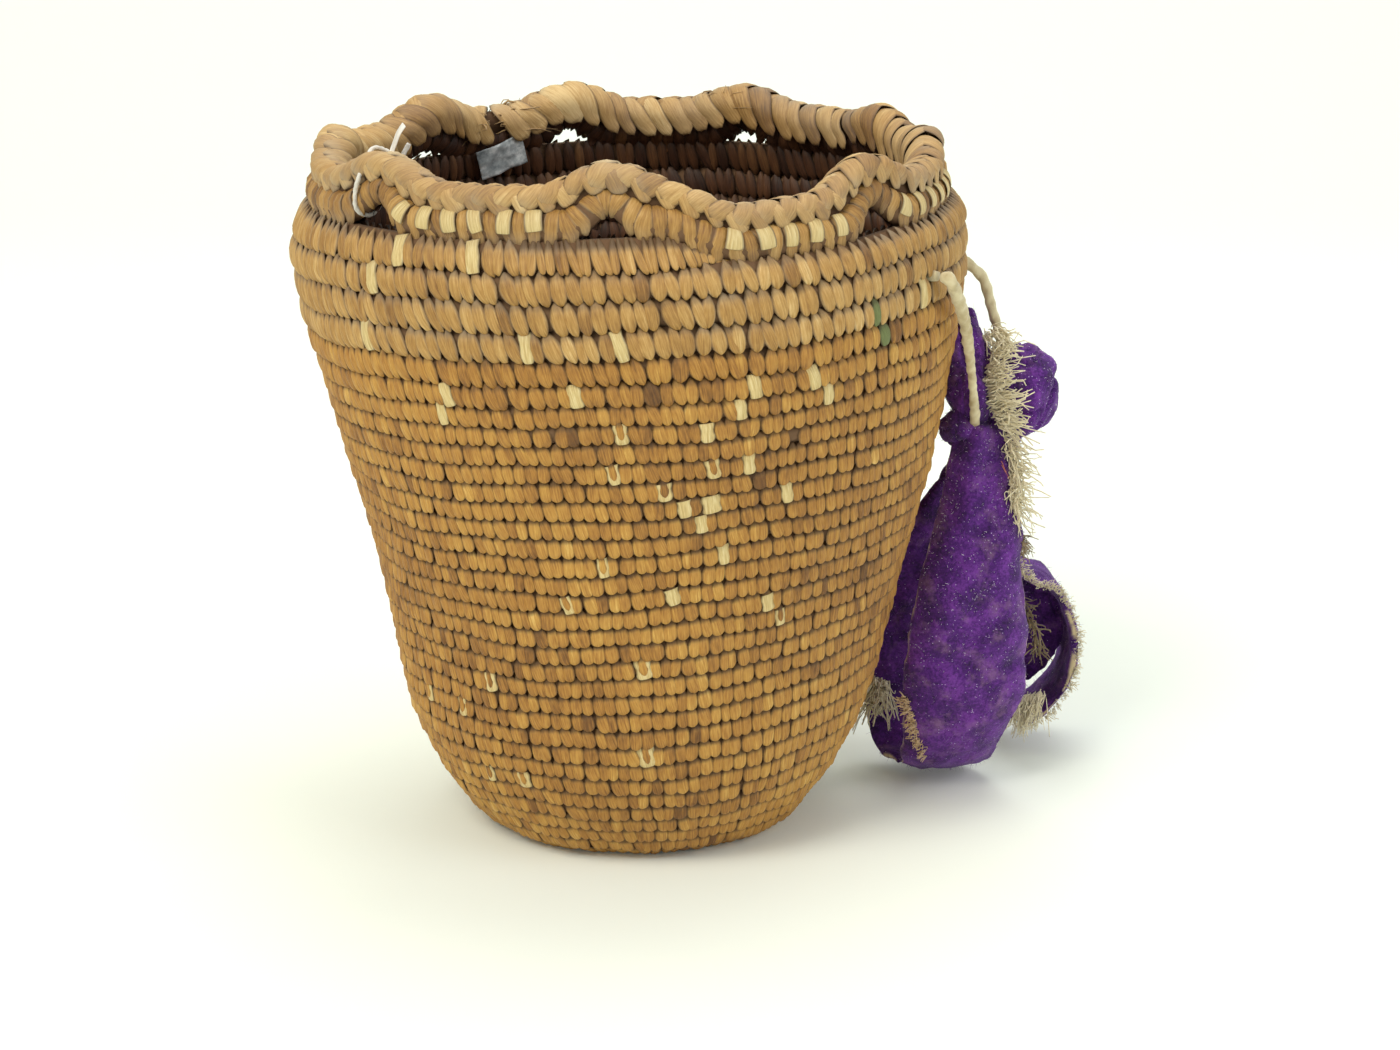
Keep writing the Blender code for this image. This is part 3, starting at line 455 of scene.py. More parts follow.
def new_mesh(name, points, shade, *kinds):
    """A piece made of points and of faces, given as arrays that each hold one kind of face."""
    mesh = bpy.data.meshes.new(name)
    points = np.reshape(points, (-1, 3)).astype(np.float32)
    mesh.vertices.add(len(points))
    mesh.vertices.foreach_set("co", points.ravel())
    corners = np.concatenate([faces.ravel() for faces in kinds]).astype(np.int32)
    sizes = np.concatenate([np.full(len(faces), faces.shape[1]) for faces in kinds])
    mesh.loops.add(len(corners))
    mesh.loops.foreach_set("vertex_index", corners)
    mesh.polygons.add(len(sizes))
    starts = np.concatenate([[0], np.cumsum(sizes)[:-1]]).astype(np.int32)
    mesh.polygons.foreach_set("loop_start", starts)
    mesh.update(calc_edges=True)
    return place_mesh(name, mesh, shade)


def ring_faces(count, sides):
    """Faces between rings of points that follow each other."""
    around = np.arange(sides)
    first = np.arange(count - 1)[:, None] * sides
    here, after = first + around, first + (around + 1) % sides
    return np.stack([here, after, after + sides, here + sides], axis=-1).reshape(-1, 4)


def write_attribute(mesh, name, values, kind="FLOAT", field="value"):
    made = mesh.attributes.new(name, kind, "POINT")
    made.data.foreach_set(field, np.ascontiguousarray(values, np.float32).ravel())


# Splints: the strips of root that wrap the coil, many to a mesh

COLUMNS = (-1.0, -0.62, 0.0, 0.62, 1.0)
LINING_COLUMNS = (-1.0, -0.5, 0.0, 0.5, 1.0)
BRAID_COLUMNS = (-1.0, -0.75, -0.3, 0.3, 0.75, 1.0)
THINNEST = 0.1 * MM  # the least half width of a splint, at its tips


def eased(start, stop, steps):
    """Steps from start to stop that lie closer together toward both ends."""
    swing = np.sin(np.linspace(-1, 1, steps) * pi / 2)
    return (start + stop) / 2 + (stop - start) / 2 * swing


def rounded(place, power, root):
    """A width that falls from 1 at the middle to 0 at both ends, -1 and 1."""
    return np.clip(1 - np.abs(place) ** power, 0, 1) ** root


def lay_splints(name, lay, along, across, out, width, crown, tone, shade, columns=COLUMNS,
                inside=False, pale=0.0, edge=0.72, worn=0.0, tilt=0.0, under=0.0):
    """A mesh of splints, each a crowned strip laid along its own centre line.

    Arrays hold one row for each splint and one column for each step of its length: the place
    along and across the coil, the height of its edges, half its width and the rise of its middle.
    A tilt lifts one edge, as where splints overlap; under is how far a step lies in the shade.
    """
    count, steps = along.shape
    u = np.array(columns)
    sides = len(u)
    d_along, d_across = np.gradient(along, axis=1), np.gradient(across, axis=1)
    size = np.maximum(np.hypot(d_along, d_across), 1e-9)
    side_along, side_across = -d_across / size, d_along / size
    length = np.cumsum(np.hstack([np.zeros((count, 1)), size[:, 1:]]), axis=1)
    along, across, side_along, side_across, out, width, crown, length, worn, under = (
        np.broadcast_to(values, (count, steps))[:, :, None] for values in
        (along, across, side_along, side_across, out, width, crown, length, worn, under))
    offset = width * u
    points = lay(along + side_along * offset, across + side_across * offset,
                 out + crown * (1 - np.abs(u) ** 2.3) + tilt * u)
    which = np.arange(count)[:, None, None]
    corner = which * steps * sides + np.arange(steps - 1)[:, None] * sides + np.arange(sides - 1)
    quads = np.stack([corner, corner + 1, corner + sides + 1, corner + sides], axis=-1)
    quads = quads.reshape(-1, 4) if inside else quads.reshape(-1, 4)[:, ::-1]
    made = new_mesh(name, points, shade, quads)
    ends = np.abs(np.linspace(-1, 1, steps))[:, None]
    # depth is how deep a point lies: at the splint's edges, at its ends and under the row above; dust
    # gathers there, and it darkens as painted shade
    depth = np.maximum(np.maximum(np.abs(u) ** 4 * edge, ends ** 7 * 0.75), under)
    seed = which * 7.31 % 97
    grain = np.stack(np.broadcast_arrays(offset / MM, length / MM, seed), axis=-1)
    write_attribute(made.data, "grain", grain, "FLOAT_VECTOR", "vector")
    tone, pale = np.reshape(tone, (-1, 1, 1)), np.reshape(pale, (-1, 1, 1))
    for label, values in (("tone", tone), ("pale", pale), ("depth", depth), ("worn", worn)):
        write_attribute(made.data, label, np.broadcast_to(values, offset.shape))
    # a map with a cell for each splint, so that its finish can be baked
    cells = ceil(count ** 0.5)
    column, row, cell = quads % sides, quads // sides % steps, quads // (steps * sides)
    atlas = np.stack([cell % cells + 0.05 + 0.9 * column / (sides - 1),
                      cell // cells + 0.05 + 0.9 * row / (steps - 1)], axis=-1) / cells
    layer = made.data.uv_layers.new(name="OFBake")
    layer.data.foreach_set("uv", atlas.astype(np.float32).ravel())
    return dress(made, *BASKET_ROOT)


# The wall's stitches

MID_STITCH, RIM_STITCH = 0.0039, 0.0043  # width of a stitch along the row
CLOSE_STITCH, CLOSE_TURNS = 0.0026, 0.062  # narrow ones, close together at the end of the last row
# Light tabs on the wall where the photograph shows them, in its pixels
TAB_PIXELS = (
    (396, 257), (475, 257), (372, 280), (497, 296), (591, 299), (530, 350), (622, 354), (367, 329),
    (441, 395), (442, 413), (578, 395), (622, 432), (767, 370), (817, 376), (752, 387), (738, 404),
    (645, 382), (710, 430), (896, 257), (949, 240), (924, 294), (832, 395), (716, 469), (749, 461),
    (685, 507), (785, 494), (708, 502), (700, 525), (727, 561), (779, 617), (764, 604), (672, 604),
    (665, 624), (601, 573), (619, 479), (667, 492), (513, 659), (647, 661), (565, 607), (488, 675),
    (465, 704), (431, 693), (640, 762), (529, 780), (488, 773),
)
GREEN_PIXELS = ((885, 332), (878, 318))
LOST_PIXELS = ((797, 440),)
TAB_CHANCE_AT_BACK = 0.012
SPOT_REACH, FAR_OFF = 9, 1000  # how near to its stitch a spot lies, in pixels, and out of reach
NARROW_STITCH = 0.0034
STITCH_FACE = 0.003  # how far the face of the stitches stands out from the middle of the wall
LEAST_RADIUS = 0.004  # nearer to the axis, stitches are laid as if at this radius
BEHIND = 0.1  # the sine of an angle past which the wall can't be seen from the front


def stitch_turns(first, last, chance):
    """Turns of the spiral at which the stitches lie, half a stitch apart from row to row."""
    turns, pitches = [], []
    turn = first
    while turn < last:
        _, length, _ = coil_at(turn)
        near_rim = np.clip((length - WALL_LENGTH + 0.060) / 0.035, 0, 1)
        wide = MID_STITCH + (RIM_STITCH - MID_STITCH) * near_rim
        if turn > LAST_TURN - CLOSE_TURNS:
            wide = CLOSE_STITCH
        per_turn = max(round(2 * pi * (wall_radius(length) + STITCH_FACE) / wide), 5) + 0.5
        turns.append(turn)
        pitches.append(1 / per_turn)
        turn += 1 / per_turn
    turns = np.array(turns) + chance.normal(0, 0.13, len(turns)) * np.array(pitches)
    _, length, _ = coil_at(turns)
    pitch = np.gradient(turns) * 2 * pi * (wall_radius(length) + STITCH_FACE)
    return turns[:, None], pitch[:, None]


def lay_on_wall(length, angle):
    """A way of laying splints on the wall, each from its own place up and round it."""
    length, angle = length[:, :, None], angle[:, :, None]
    radius = np.maximum(wall_radius(length), LEAST_RADIUS)

    def put(s, q, o):
        return on_wall(length + q, angle + s / radius, o)

    return put


def marked(spots, pixels, hidden):
    """The stitches that show nearest to spots of the photograph; hidden ones count as far off."""
    found = np.zeros(hidden.shape, bool)
    for spot in spots:
        away = np.linalg.norm(pixels - np.array(spot), axis=-1) + FAR_OFF * hidden
        found.flat[np.argmin(away)] |= away.min() < SPOT_REACH
    return found


def sew_wall(name, first, last, shade, seed):
    """The outer stitches of a length of the coil: pointed under the rim, like teeth lower down."""
    chance = np.random.default_rng(seed)
    turns, pitch = stitch_turns(first, last, chance)
    size = turns.shape
    angle, length, half = coil_at(turns)
    behind = np.sin(angle) > BEHIND
    pale = behind & (chance.random(size) < TAB_CHANCE_AT_BACK)
    tone = chance.normal(0.58, 0.065, size) - 0.24 * (chance.random(size) < 0.03)
    # the rows near the base are lighter: painted light thrown up from the floor
    tone = tone + 0.05 * np.sin(3 * angle + 40 * length) + 0.13 * np.clip(1 - length / 0.13, 0, 1)
    tone = np.clip(tone, 0, 1)
    pixels = in_photo(on_wall(length, angle, half))
    tabs, green, lost = (marked(spots, pixels, behind)
                         for spots in (TAB_PIXELS, GREEN_PIXELS, LOST_PIXELS))
    pale = pale | tabs
    leaf = np.clip((length - WALL_LENGTH + 0.085) / 0.045, 0.10, 1.0)
    leaf = np.where(pitch < NARROW_STITCH, 0.15, leaf)
    # v runs down the stitch, from 1 at its top to -1 at its foot
    v = eased(1, -1, 11)
    top = 1.10 + 0.06 * leaf + chance.normal(0, 0.04, size)
    foot = 1.16 + 0.10 * leaf + chance.normal(0, 0.06, size)
    lean = chance.normal(-0.16, 0.08, size) + 0.14 * np.cos(angle)
    height = chance.normal(0, 0.09, size) * MM

    def face(v, y):
        """How far out a stitch lies: on a round row under the rim, and like a scale lower down."""
        bulge = rounded(y / half / 1.22, 2, 0.5)
        low = np.clip(-v, 0, 1)
        round_row = 0.32 + 0.56 * bulge + 0.26 * low ** 1.5
        scale = 0.30 + 0.45 * bulge + 0.46 * low ** 1.3
        return half * (round_row * leaf + scale * (1 - leaf)) + height

    y = half * np.where(v > 0, v * top, v * foot)
    along = lean * (y + 0.25 * y * np.abs(y) / half)
    pointed = rounded(v, 1.7, 0.80) * leaf + (1 - 0.70 * np.abs(v) ** 1.7) * (1 - leaf)
    below = rounded(v, 2.3, 0.70) * leaf + rounded(v, 4.2, 0.5) * (1 - leaf)
    taper = np.where(v > 0, pointed, below)
    width = pitch * (0.57 + 0.03 * leaf + chance.normal(0, 0.025, size))
    width = np.maximum(width * taper, THINNEST)
    crown = half * (0.28 - 0.02 * leaf) * (0.25 + 0.75 * taper)
    worn = (0.15 + 0.75 * leaf) * np.clip((v - 0.25) / 0.75, 0, 1) ** 1.2
    # the feet of the row above shade the tops of the stitches
    under = (0.80 - 0.30 * leaf) * np.clip((y / half - 0.05) / 0.70, 0, 1)

    def sew(label, pick, finish, shapes, **looks):
        """Lay the picked stitches, from arrays that hold a row for each stitch of the band."""
        pick = np.flatnonzero(pick)
        looks = {look: values[pick] for look, values in looks.items()}
        lay_splints(name + label, lay_on_wall(length[pick], angle[pick]),
                    *(values[pick] for values in shapes), tone[pick], finish, **looks)

    shapes = (along, y, face(v, y), width, crown)
    sew("", ~lost & ~green, shade, shapes, worn=worn, under=under)
    if green.any():
        sew("_green", green, green_root, shapes, worn=worn, under=under)
    if pale.any():
        # a tab of bark is folded over its stitch; over some of them a narrower stitch hides its middle
        start = chance.uniform(0.45, 1.0, size) * (1 - leaf) + 0.98 * leaf
        tab_v = start + (-1.0 - start) * (1 - v) / 2
        tab_y = half * 1.10 * tab_v
        uneven = 1 + 0.10 * np.sin(5 * v + 6 * chance.random(size))
        tab_width = pitch * chance.uniform(0.50, 0.64, size) * uneven
        tab_width = tab_width * (1 - 0.25 * np.clip(-v, 0, 1) ** 6)
        tab_crown = half * 0.22 * (1 - 0.3 * np.abs(v) ** 3)
        sew("_tabs", pale, shade, (lean * tab_y, tab_y, face(tab_v, tab_y) + 0.30 * MM, tab_width,
                                   tab_crown), worn=0.5 * worn, pale=pale)
        over = pale & (leaf < 0.6) & (chance.random(size) < 0.5)
        if over.any():
            up_y = tab_y + 0.42 * half
            sew("_over_tabs", over, shade, (lean * up_y, up_y, face(tab_v, tab_y) + 0.42 * MM,
                                            0.56 * width, tab_crown), worn=worn, under=under)


def line_wall(name, first, last, shade, seed):
    """The same stitches on the inner side of the wall."""
    chance = np.random.default_rng(seed)
    turns, pitch = stitch_turns(first, last, chance)
    size = turns.shape
    angle, length, half = coil_at(turns)
    v = eased(1, -1, 7)
    y = half * 1.18 * v
    along = chance.normal(0.12, 0.10, size) * y
    bulge = rounded(v * 0.94, 2, 0.5)
    out = -half * (0.36 + 0.56 * bulge) + chance.normal(0, 0.10, size) * MM
    width = np.maximum(pitch * 0.55 * rounded(v, 2.2, 0.6), THINNEST)
    tone = np.clip(chance.normal(0.5, 0.15, size), 0, 1)
    worn = 0.5 * np.clip((v - 0.3) / 0.7, 0, 1)
    lay_splints(name, lay_on_wall(length, angle), along, y, out, width, -half * 0.24, tone, shade,
                LINING_COLUMNS, inside=True, worn=worn)


def wind_core(name, first, last, replaced, shade):
    """The bundle of roots that the stitches wrap, as one round spiral."""
    turns = np.linspace(first, last, ceil((last - first) * 90) + 1)[:, None]
    angle, length, half = coil_at(turns)
    half = np.maximum(half - 0.25 * MM, 0.4 * MM)
    ring = np.arange(8) * pi / 4 + pi / 8
    points = on_wall(length + half * 1.14 * np.sin(ring), angle + 0 * ring,
                     half * 0.84 * np.cos(ring))
    faces = ring_faces(len(turns), len(ring))[:, ::-1]
    dress(new_mesh(name, points, shade, faces), *BASKET_ROOT, *replaced)


BAND_EDGES = (1.0, 8.0, 16.3, 24.5, 32.8, LAST_TURN + 0.032)
BAND_NODES = (("base_knot", "base_coil"), ("wall_band_1",), ("wall_band_2",), ("wall_band_3",),
              ("wall_band_4",))
DUSTY_FROM = LAST_TURN - 3.6


def build_wall():
    for i, (nodes, first, last) in enumerate(zip(BAND_NODES, BAND_EDGES, BAND_EDGES[1:])):
        top = last == BAND_EDGES[-1]
        wind_core(f"wall_bundle_{i}", first, last, nodes, dusty_core if top else core_root)
        line_wall(f"wall_lining_{i}", first, last, inner_root, 50 + i)
        sew_wall(f"wall_stitches_{i}", first, DUSTY_FROM if top else last, wall_root, 20 + i)
    sew_wall("wall_stitches_rim", DUSTY_FROM, BAND_EDGES[-1], rim_root, 29)


# The rim: a wrapped coil lifted into arches, and a braid of flat splints over it

# The arches: angle in degrees from +X, half the span along the rim and the height of the hole
ARCHES = (
    (-92.0, 0.015, 0.0082), (-41.0, 0.018, 0.0100), (-3.0, 0.015, 0.0076), (28.0, 0.014, 0.0062),
    (65.0, 0.017, 0.0074), (103.0, 0.017, 0.0085), (137.0, 0.017, 0.0095), (178.0, 0.018, 0.0085),
    (221.0, 0.021, 0.0090),
)
RIM_COIL_RADIUS, ARCH_COIL_RADIUS, RIM_BRAID_RADIUS = 0.0050, 0.0040, 0.0043
BRAID_SPREAD, RIM_GAP, BRAID_GAP, RIM_LEAN = 1.6, 0.0004, 0.0007, 22.0
BRAID_BED = 0.0018  # how far the braid's splints press into the coil under them
RIM_RING = wall_middle[-1, 0]


def arch(angle, spread):
    """How far up an arch the rim is at an angle, from 0 to 1, and the height of that hole."""
    bump, hole = np.zeros_like(angle), np.zeros_like(angle)
    for middle, half_span, height in ARCHES:
        away = (np.degrees(angle) - middle + 180) % 360 - 180
        share = np.abs(np.radians(away)) * RIM_RING / half_span / spread
        here = share < 1
        bump = np.where(here, np.cos(np.clip(share, 0, 1) * pi / 2) ** 2, bump)
        hole = np.where(here, height, hole)
    return bump, hole


def rim_coil(angle):
    bump, hole = arch(angle, 1.0)
    radius = RIM_COIL_RADIUS + (ARCH_COIL_RADIUS - RIM_COIL_RADIUS) * bump
    return radius, RIM_GAP + hole * bump + radius * FLAT_SHARE


def rim_braid(angle):
    radius, height = rim_coil(angle)
    rise = np.gradient(height + rim_foot(angle)) / np.gradient(angle) / RIM_RING
    coil_top = height + radius * FLAT_SHARE * np.sqrt(1 + rise ** 2)
    bump, hole = arch(angle, BRAID_SPREAD)
    drawn_in = 2 * (RIM_COIL_RADIUS - ARCH_COIL_RADIUS) * FLAT_SHARE
    easy = RIM_GAP + 2 * RIM_COIL_RADIUS * FLAT_SHARE + (hole - drawn_in) * bump
    return np.maximum(coil_top, easy) + BRAID_GAP + RIM_BRAID_RADIUS * FLAT_SHARE - BRAID_BED


class RimLine:
    """A closed line round the rim, read by its own length."""

    def __init__(self, heights, angle):
        foot = rim_foot(angle)
        z = np.interp(foot, wall_lengths, wall_middle[:, 1]) + np.maximum(foot - WALL_LENGTH, 0.0)
        level = np.stack([np.cos(angle), np.sin(angle), 0 * angle], axis=-1)
        lean = radians(RIM_LEAN)
        self.outward = level * cos(lean) + [0.0, 0.0, sin(lean)]
        upward = [0.0, 0.0, cos(lean)] - level * sin(lean)
        self.points = leaned(wall_radius(foot), z, angle) + upward * heights[:, None]
        self.lengths = measure(self.points)
        self.whole = self.lengths[-1]
        self.along = unit(np.gradient(self.points, axis=0))
        self.up = unit(np.cross(self.outward, self.along))

    def read(self, values, s):
        return between(np.mod(s, self.whole), self.lengths, values)

    def lay(self, starts, radius, straight, wide=1.0, share=1.0):
        """A way of laying splints on this line: along it by length, and round it by arc.

        Below the angle at which they go straight, they hang straight down, by a share from 0 to 1.
        """
        starts, radius, share = (np.reshape(each, (-1, 1, 1)) for each in (starts, radius, share))

        def put(s, q, o):
            place, turn = starts + s, q / radius
            over = turn + (np.clip(turn, -straight, pi + straight) - turn) * share
            drop = (np.abs(turn - over) * radius)[..., None]
            side = (self.read(self.outward, place) * wide * np.cos(over)[..., None]
                    + self.read(self.up, place) * np.sin(over)[..., None])
            return self.read(self.points, place) + side * o[..., None] - [0.0, 0.0, 1.0] * drop

        return put


def rim_core(name, line, radius, nodes, shade, deep):
    """The bundle inside a part of the rim; its lower half reaches down to what carries it."""
    ring = np.arange(10) * pi / 5
    rise = np.where(np.sin(ring) < -0.1, deep, 1.0) * np.sin(ring)
    side = line.outward[:, None] * np.cos(ring)[:, None] + line.up[:, None] * rise[:, None]
    points = (line.points[:, None] + np.reshape(radius, (-1, 1, 1)) * side)[::3]
    faces = ring_faces(len(points), len(ring))[:, ::-1]
    dress(new_mesh(name, points, shade, faces), *BASKET_ROOT, *nodes)


rim_angles = np.linspace(0, 2 * pi, 1441)
coil_radius, coil_height = rim_coil(rim_angles)
# The wraps keep the coil from growing as thin in the arches as its bundle, most so at the back
BACK_WRAPPED, FRONT_WRAPPED = 0.0052, 0.0043
wrapped_radius = np.maximum(coil_radius, np.where(np.sin(rim_angles) > 0, BACK_WRAPPED, FRONT_WRAPPED))
# At the rear left, where the photograph shows only slits, the arch hangs a little lower
coil_sag = REAR_SAG * rear_share(rim_angles) * arch(rim_angles, 1.0)[0]
coil_line = RimLine(coil_height - coil_sag, rim_angles)
braid_line = RimLine(rim_braid(rim_angles), rim_angles)
# Where yellow tabs lie over every second wrap of the rim's coil, in degrees from +X
TAB_STRETCHES = ((-146.0, -103.0), (-76.0, -5.0), (60.0, 95.0), (150.0, 170.0))
# How far apart the wraps lie, and the angle below the coil's sides from which they hang straight
WRAP_SPACING, WRAP_HANG = 0.0046, 0.95
# Where the braid is broken, and half the width of the break, both in degrees
BREAK_ANGLE, BREAK_HALF = 120.0, 2.6


def wrap_rim_coil():
    """Stitches round the rim's coil, with yellow tabs over every second one in some stretches."""
    chance = np.random.default_rng(5)
    count = int(coil_line.whole / WRAP_SPACING)
    size = (count, 1)
    number = np.arange(count)[:, None]
    starts = (number + chance.normal(0, 0.09, size)) * coil_line.whole / count
    radius = coil_line.read(wrapped_radius, starts)
    angle = coil_line.read(rim_angles, starts)
    signed = (np.degrees(angle) + 180) % 360 - 180
    lifted, _ = arch(angle, 1.0)
    in_stretch = np.any([(signed > low) & (signed < high) for low, high in TAB_STRETCHES], axis=0)
    tab = np.flatnonzero(in_stretch & (number % 2 == 0) & (lifted < 0.15))
    tone = np.clip(chance.normal(0.48, 0.12, size) - 0.10 * lifted, 0, 1)
    seated = 1 - 0.75 * lifted
    v = eased(0, 1, 13)
    last = -2.0 + chance.normal(0, 0.07, size)
    q = radius * (2.0 + (last - 2.0) * v)
    along = chance.normal(-0.10, 0.12, size) * q
    ends = np.abs(2 * v - 1)
    taper = rounded(ends, 3.0, 0.6)
    width = WRAP_SPACING * (0.53 + chance.normal(0, 0.03, size)) * taper
    out = radius * (0.92 - 0.08 * ends ** 4) + chance.normal(0, 0.12, size) * MM
    lay_splints("rim_coil_stitches", coil_line.lay(starts, radius, WRAP_HANG, share=seated),
                along, q, out, np.maximum(width, THINNEST), 0.85 * MM * (0.3 + 0.7 * taper), tone,
                rim_root, worn=0.55 * np.clip(v - 0.60, 0, 1) / 0.40)
    size = (len(tab), 1)
    bottom = chance.normal(-0.70, 0.08, size)
    q = radius[tab] * (0.75 + (bottom - 0.75) * v)
    taper = 1 - 0.10 * ends ** 6
    along = chance.normal(-0.05, 0.10, size) * q
    out = radius[tab] * 1.10 + chance.normal(0, 0.10, size) * MM
    width = WRAP_SPACING * chance.uniform(0.50, 0.62, size) * taper
    lay = coil_line.lay(starts[tab], radius[tab], WRAP_HANG, share=seated[tab])
    lay_splints("rim_coil_tabs", lay, along, q, out, width, 0.30 * MM * taper, tone[tab], rim_root,
                pale=1.0, worn=0.12)
    v = eased(-1, 1, 11)
    q = (3.35 + 1.45 * v) * radius
    width = np.maximum(WRAP_SPACING * 0.55 * rounded(v, 2.6, 0.6), THINNEST)
    lay = coil_line.lay(starts + 0.4 * WRAP_SPACING, radius, WRAP_HANG, share=seated)
    lay_splints("rim_coil_lining", lay, 0.10 * q, q, radius * (0.92 - 0.06 * v ** 4), width,
                0.8 * MM, np.clip(tone - 0.05, 0, 1), inner_root)
    rim_core("rim_coil_bundle", coil_line, coil_radius * 0.90,
             [f"rim_coil_{i}" for i in range(1, 10)], dusty_core, 1.25)


# The braid's splints by set: the arc in degrees that each covers, from the outside over the top,
# how far it runs along the rim meanwhile, half its width, its height over the bundle at its start,
# middle and end as shares of the bundle's radius, and its shift along the rim in pitches
BRAID_PITCH, BRAID_WIDE = 0.0074, 1.24
BRAID_SETS = (
    ("rim_braid_under", (-68.0, 62.0), -0.0060, 0.0029, (1.00, 1.06, 0.94), 0.30),
    ("rim_braid_over", (-34.0, 108.0), 0.0085, 0.0037, (1.10, 1.16, 0.96), 0.0),
    ("rim_braid_inner", (58.0, 250.0), -0.0120, 0.0036, (1.16, 1.18, 1.16), 0.55),
)


def plait_rim():
    """Splints that cross over the top of the rim, with shorter ones that show below them."""
    chance = np.random.default_rng(8)
    count = int(braid_line.whole / BRAID_PITCH)
    size = (count, 1)
    base = np.arange(count)[:, None] * braid_line.whole / count
    v = np.linspace(0, 1, 15)
    taper = rounded(2 * v - 1, 4.5, 0.5)
    for name, (first, last), slant, half, heights, shift in BRAID_SETS:
        starts = base + (shift + chance.normal(0, 0.06, size)) * BRAID_PITCH
        angle = braid_line.read(rim_angles, starts)
        keep = np.abs((np.degrees(angle) - BREAK_ANGLE + 180) % 360 - 180)[:, 0] > BREAK_HALF
        knob, _ = arch(angle, 0.8)
        q = RIM_BRAID_RADIUS * np.radians(first + (last - first) * v + chance.normal(0, 3.0, size))
        along = (slant + chance.normal(0, 0.7 * MM, size)) * (v - 0.5)
        lift = np.interp(v, (0.0, 0.5, 1.0), heights) + chance.normal(0, 0.03, size)
        out = RIM_BRAID_RADIUS * lift * (1 + 0.10 * knob)
        width = np.maximum((half + chance.normal(0, 0.3 * MM, size)) * taper, THINNEST)
        tone = np.clip(chance.normal(0.60, 0.14, size), 0, 1)
        lay_splints(name, braid_line.lay(starts[keep], RIM_BRAID_RADIUS, 0.0, BRAID_WIDE),
                    along[keep], q[keep], out[keep], width[keep], 0.95 * MM * (0.3 + 0.7 * taper),
                    tone[keep], rim_root, BRAID_COLUMNS, edge=0.7, tilt=0.35 * MM,
                    worn=0.30 + 0.35 * np.clip(1 - 4 * v, 0, 1))
    rim_core("rim_braid_bundle", braid_line, RIM_BRAID_RADIUS * 0.9,
             [f"rim_braid_{i}" for i in range(1, 10)], core_root, 1.8)


# Bunches of torn fibres: the angle, which way they point along the rim, how many and how long
TORN_BUNCHES = (
    (BREAK_ANGLE - 2.2, -1.0, 70, (0.006, 0.020)), (BREAK_ANGLE + 2.4, 1.0, 40, (0.004, 0.010)),
    (BREAK_ANGLE - 2.2, 1.0, 26, (0.002, 0.006)), (74.0, -1.0, 14, (0.008, 0.019)),
)
TORN_RADII = np.array([0.00032, 0.00036, 0.00034, 0.00030, 0.00024, 0.00014])


def loosen_splints():
    """Torn root fibres at the break in the braid, and a few splints that have come loose."""
    chance = np.random.default_rng(12)
    for i, (angle, way, count, lengths) in enumerate(TORN_BUNCHES):
        here = np.searchsorted(rim_angles, radians(angle))
        out, up = braid_line.outward[here], braid_line.up[here]
        turn = chance.uniform(0.15 * pi, 1.1 * pi, count)[:, None]
        away = RIM_BRAID_RADIUS * chance.uniform(0.75, 1.2, count)[:, None]
        roots = braid_line.points[here] + away * (BRAID_WIDE * out * np.cos(turn)
                                                  + up * np.sin(turn))
        ways = unit(braid_line.along[here] * way + chance.normal(0, 0.16, (count, 3)))
        sizes = chance.uniform(*lengths, count)
        paths = thread_paths(roots, ways, sizes, chance, droop=0.05, curl=0.16)
        radii = TORN_RADII * chance.uniform(0.5, 1.3, (count, 1))
        dress(threads(f"torn_fibres_{i + 1}", paths, radii, torn_root), *BASKET_ROOT)


# The strap: two legs of cord and a strip of wool cloth, folded and knotted

STRAP_PIVOT = np.array([0.10677, -0.02241, 0.19974])
LEFT_EXIT, RIGHT_EXIT = (0.10077, -0.05677, 0.20346), (0.11276, 0.01195, 0.19601)
CLOTH_THICKNESS = 0.0030


def skin(name, rings, shade):
    """A closed mesh through rings of points, with a point in the middle of each end."""
    count, sides, _ = rings.shape
    points = np.vstack([rings.reshape(-1, 3), rings[[0, -1]].mean(axis=1)])
    around = np.arange(sides)
    after = (around + 1) % sides
    middle, last = np.full(sides, count * sides), (count - 1) * sides
    caps = (np.stack([after, around, middle], axis=-1),
            np.stack([last + around, last + after, middle + 1], axis=-1))
    return new_mesh(name, points, shade, ring_faces(count, sides), *caps)


def roughen(made, layers, seed):
    """Push a mesh in and out along its normals by layers of noise, each with its size and height."""
    mesh = made.data
    points = np.empty(len(mesh.vertices) * 3, np.float32)
    normals = np.empty_like(points)
    mesh.vertices.foreach_get("co", points)
    mesh.vertex_normals.foreach_get("vector", normals)
    shift = Vector((seed * 3.7, seed * 1.3, seed * 5.1))
    push = [sum(height * noise.noise(Vector(p) / size + shift) for size, height in layers)
            for p in points.reshape(-1, 3)]
    points += normals * np.repeat(push, 3)
    mesh.vertices.foreach_set("co", points)
    mesh.update()


def carried_sides(path):
    """Two directions square to a path at each point, carried along it without a twist."""
    along = unit(np.gradient(path, axis=0))
    side = np.cross(along[0], [0.3, 0.2, 1.0])
    sides = []
    for direction in along:
        side = unit(side - direction * (side @ direction))
        sides.append(side)
    sides = np.array(sides)
    return sides, np.cross(along, sides)


def twist_cord(name, route, radii, shade, seed, lay_length=0.011):
    """A soft cord of two plies along a route; its radius is read along its length."""
    path = smooth(route, 0.0006)
    length = measure(path)
    sides, ups = carried_sides(path)
    turn = np.arange(20) * pi / 10
    radius = np.interp(length / length[-1], np.linspace(0, 1, len(radii)), radii)[:, None]
    plies = 1 + 0.09 * np.cos(2 * (turn - 2 * pi * length[:, None] / lay_length))
    around = sides[:, None] * np.cos(turn)[:, None] + ups[:, None] * np.sin(turn)[:, None]
    made = skin(name, path[:, None] + (radius * plies)[..., None] * around, shade)
    roughen(made, ((0.0045, 0.00025), (0.0011, 0.00014)), seed)
    return made, path


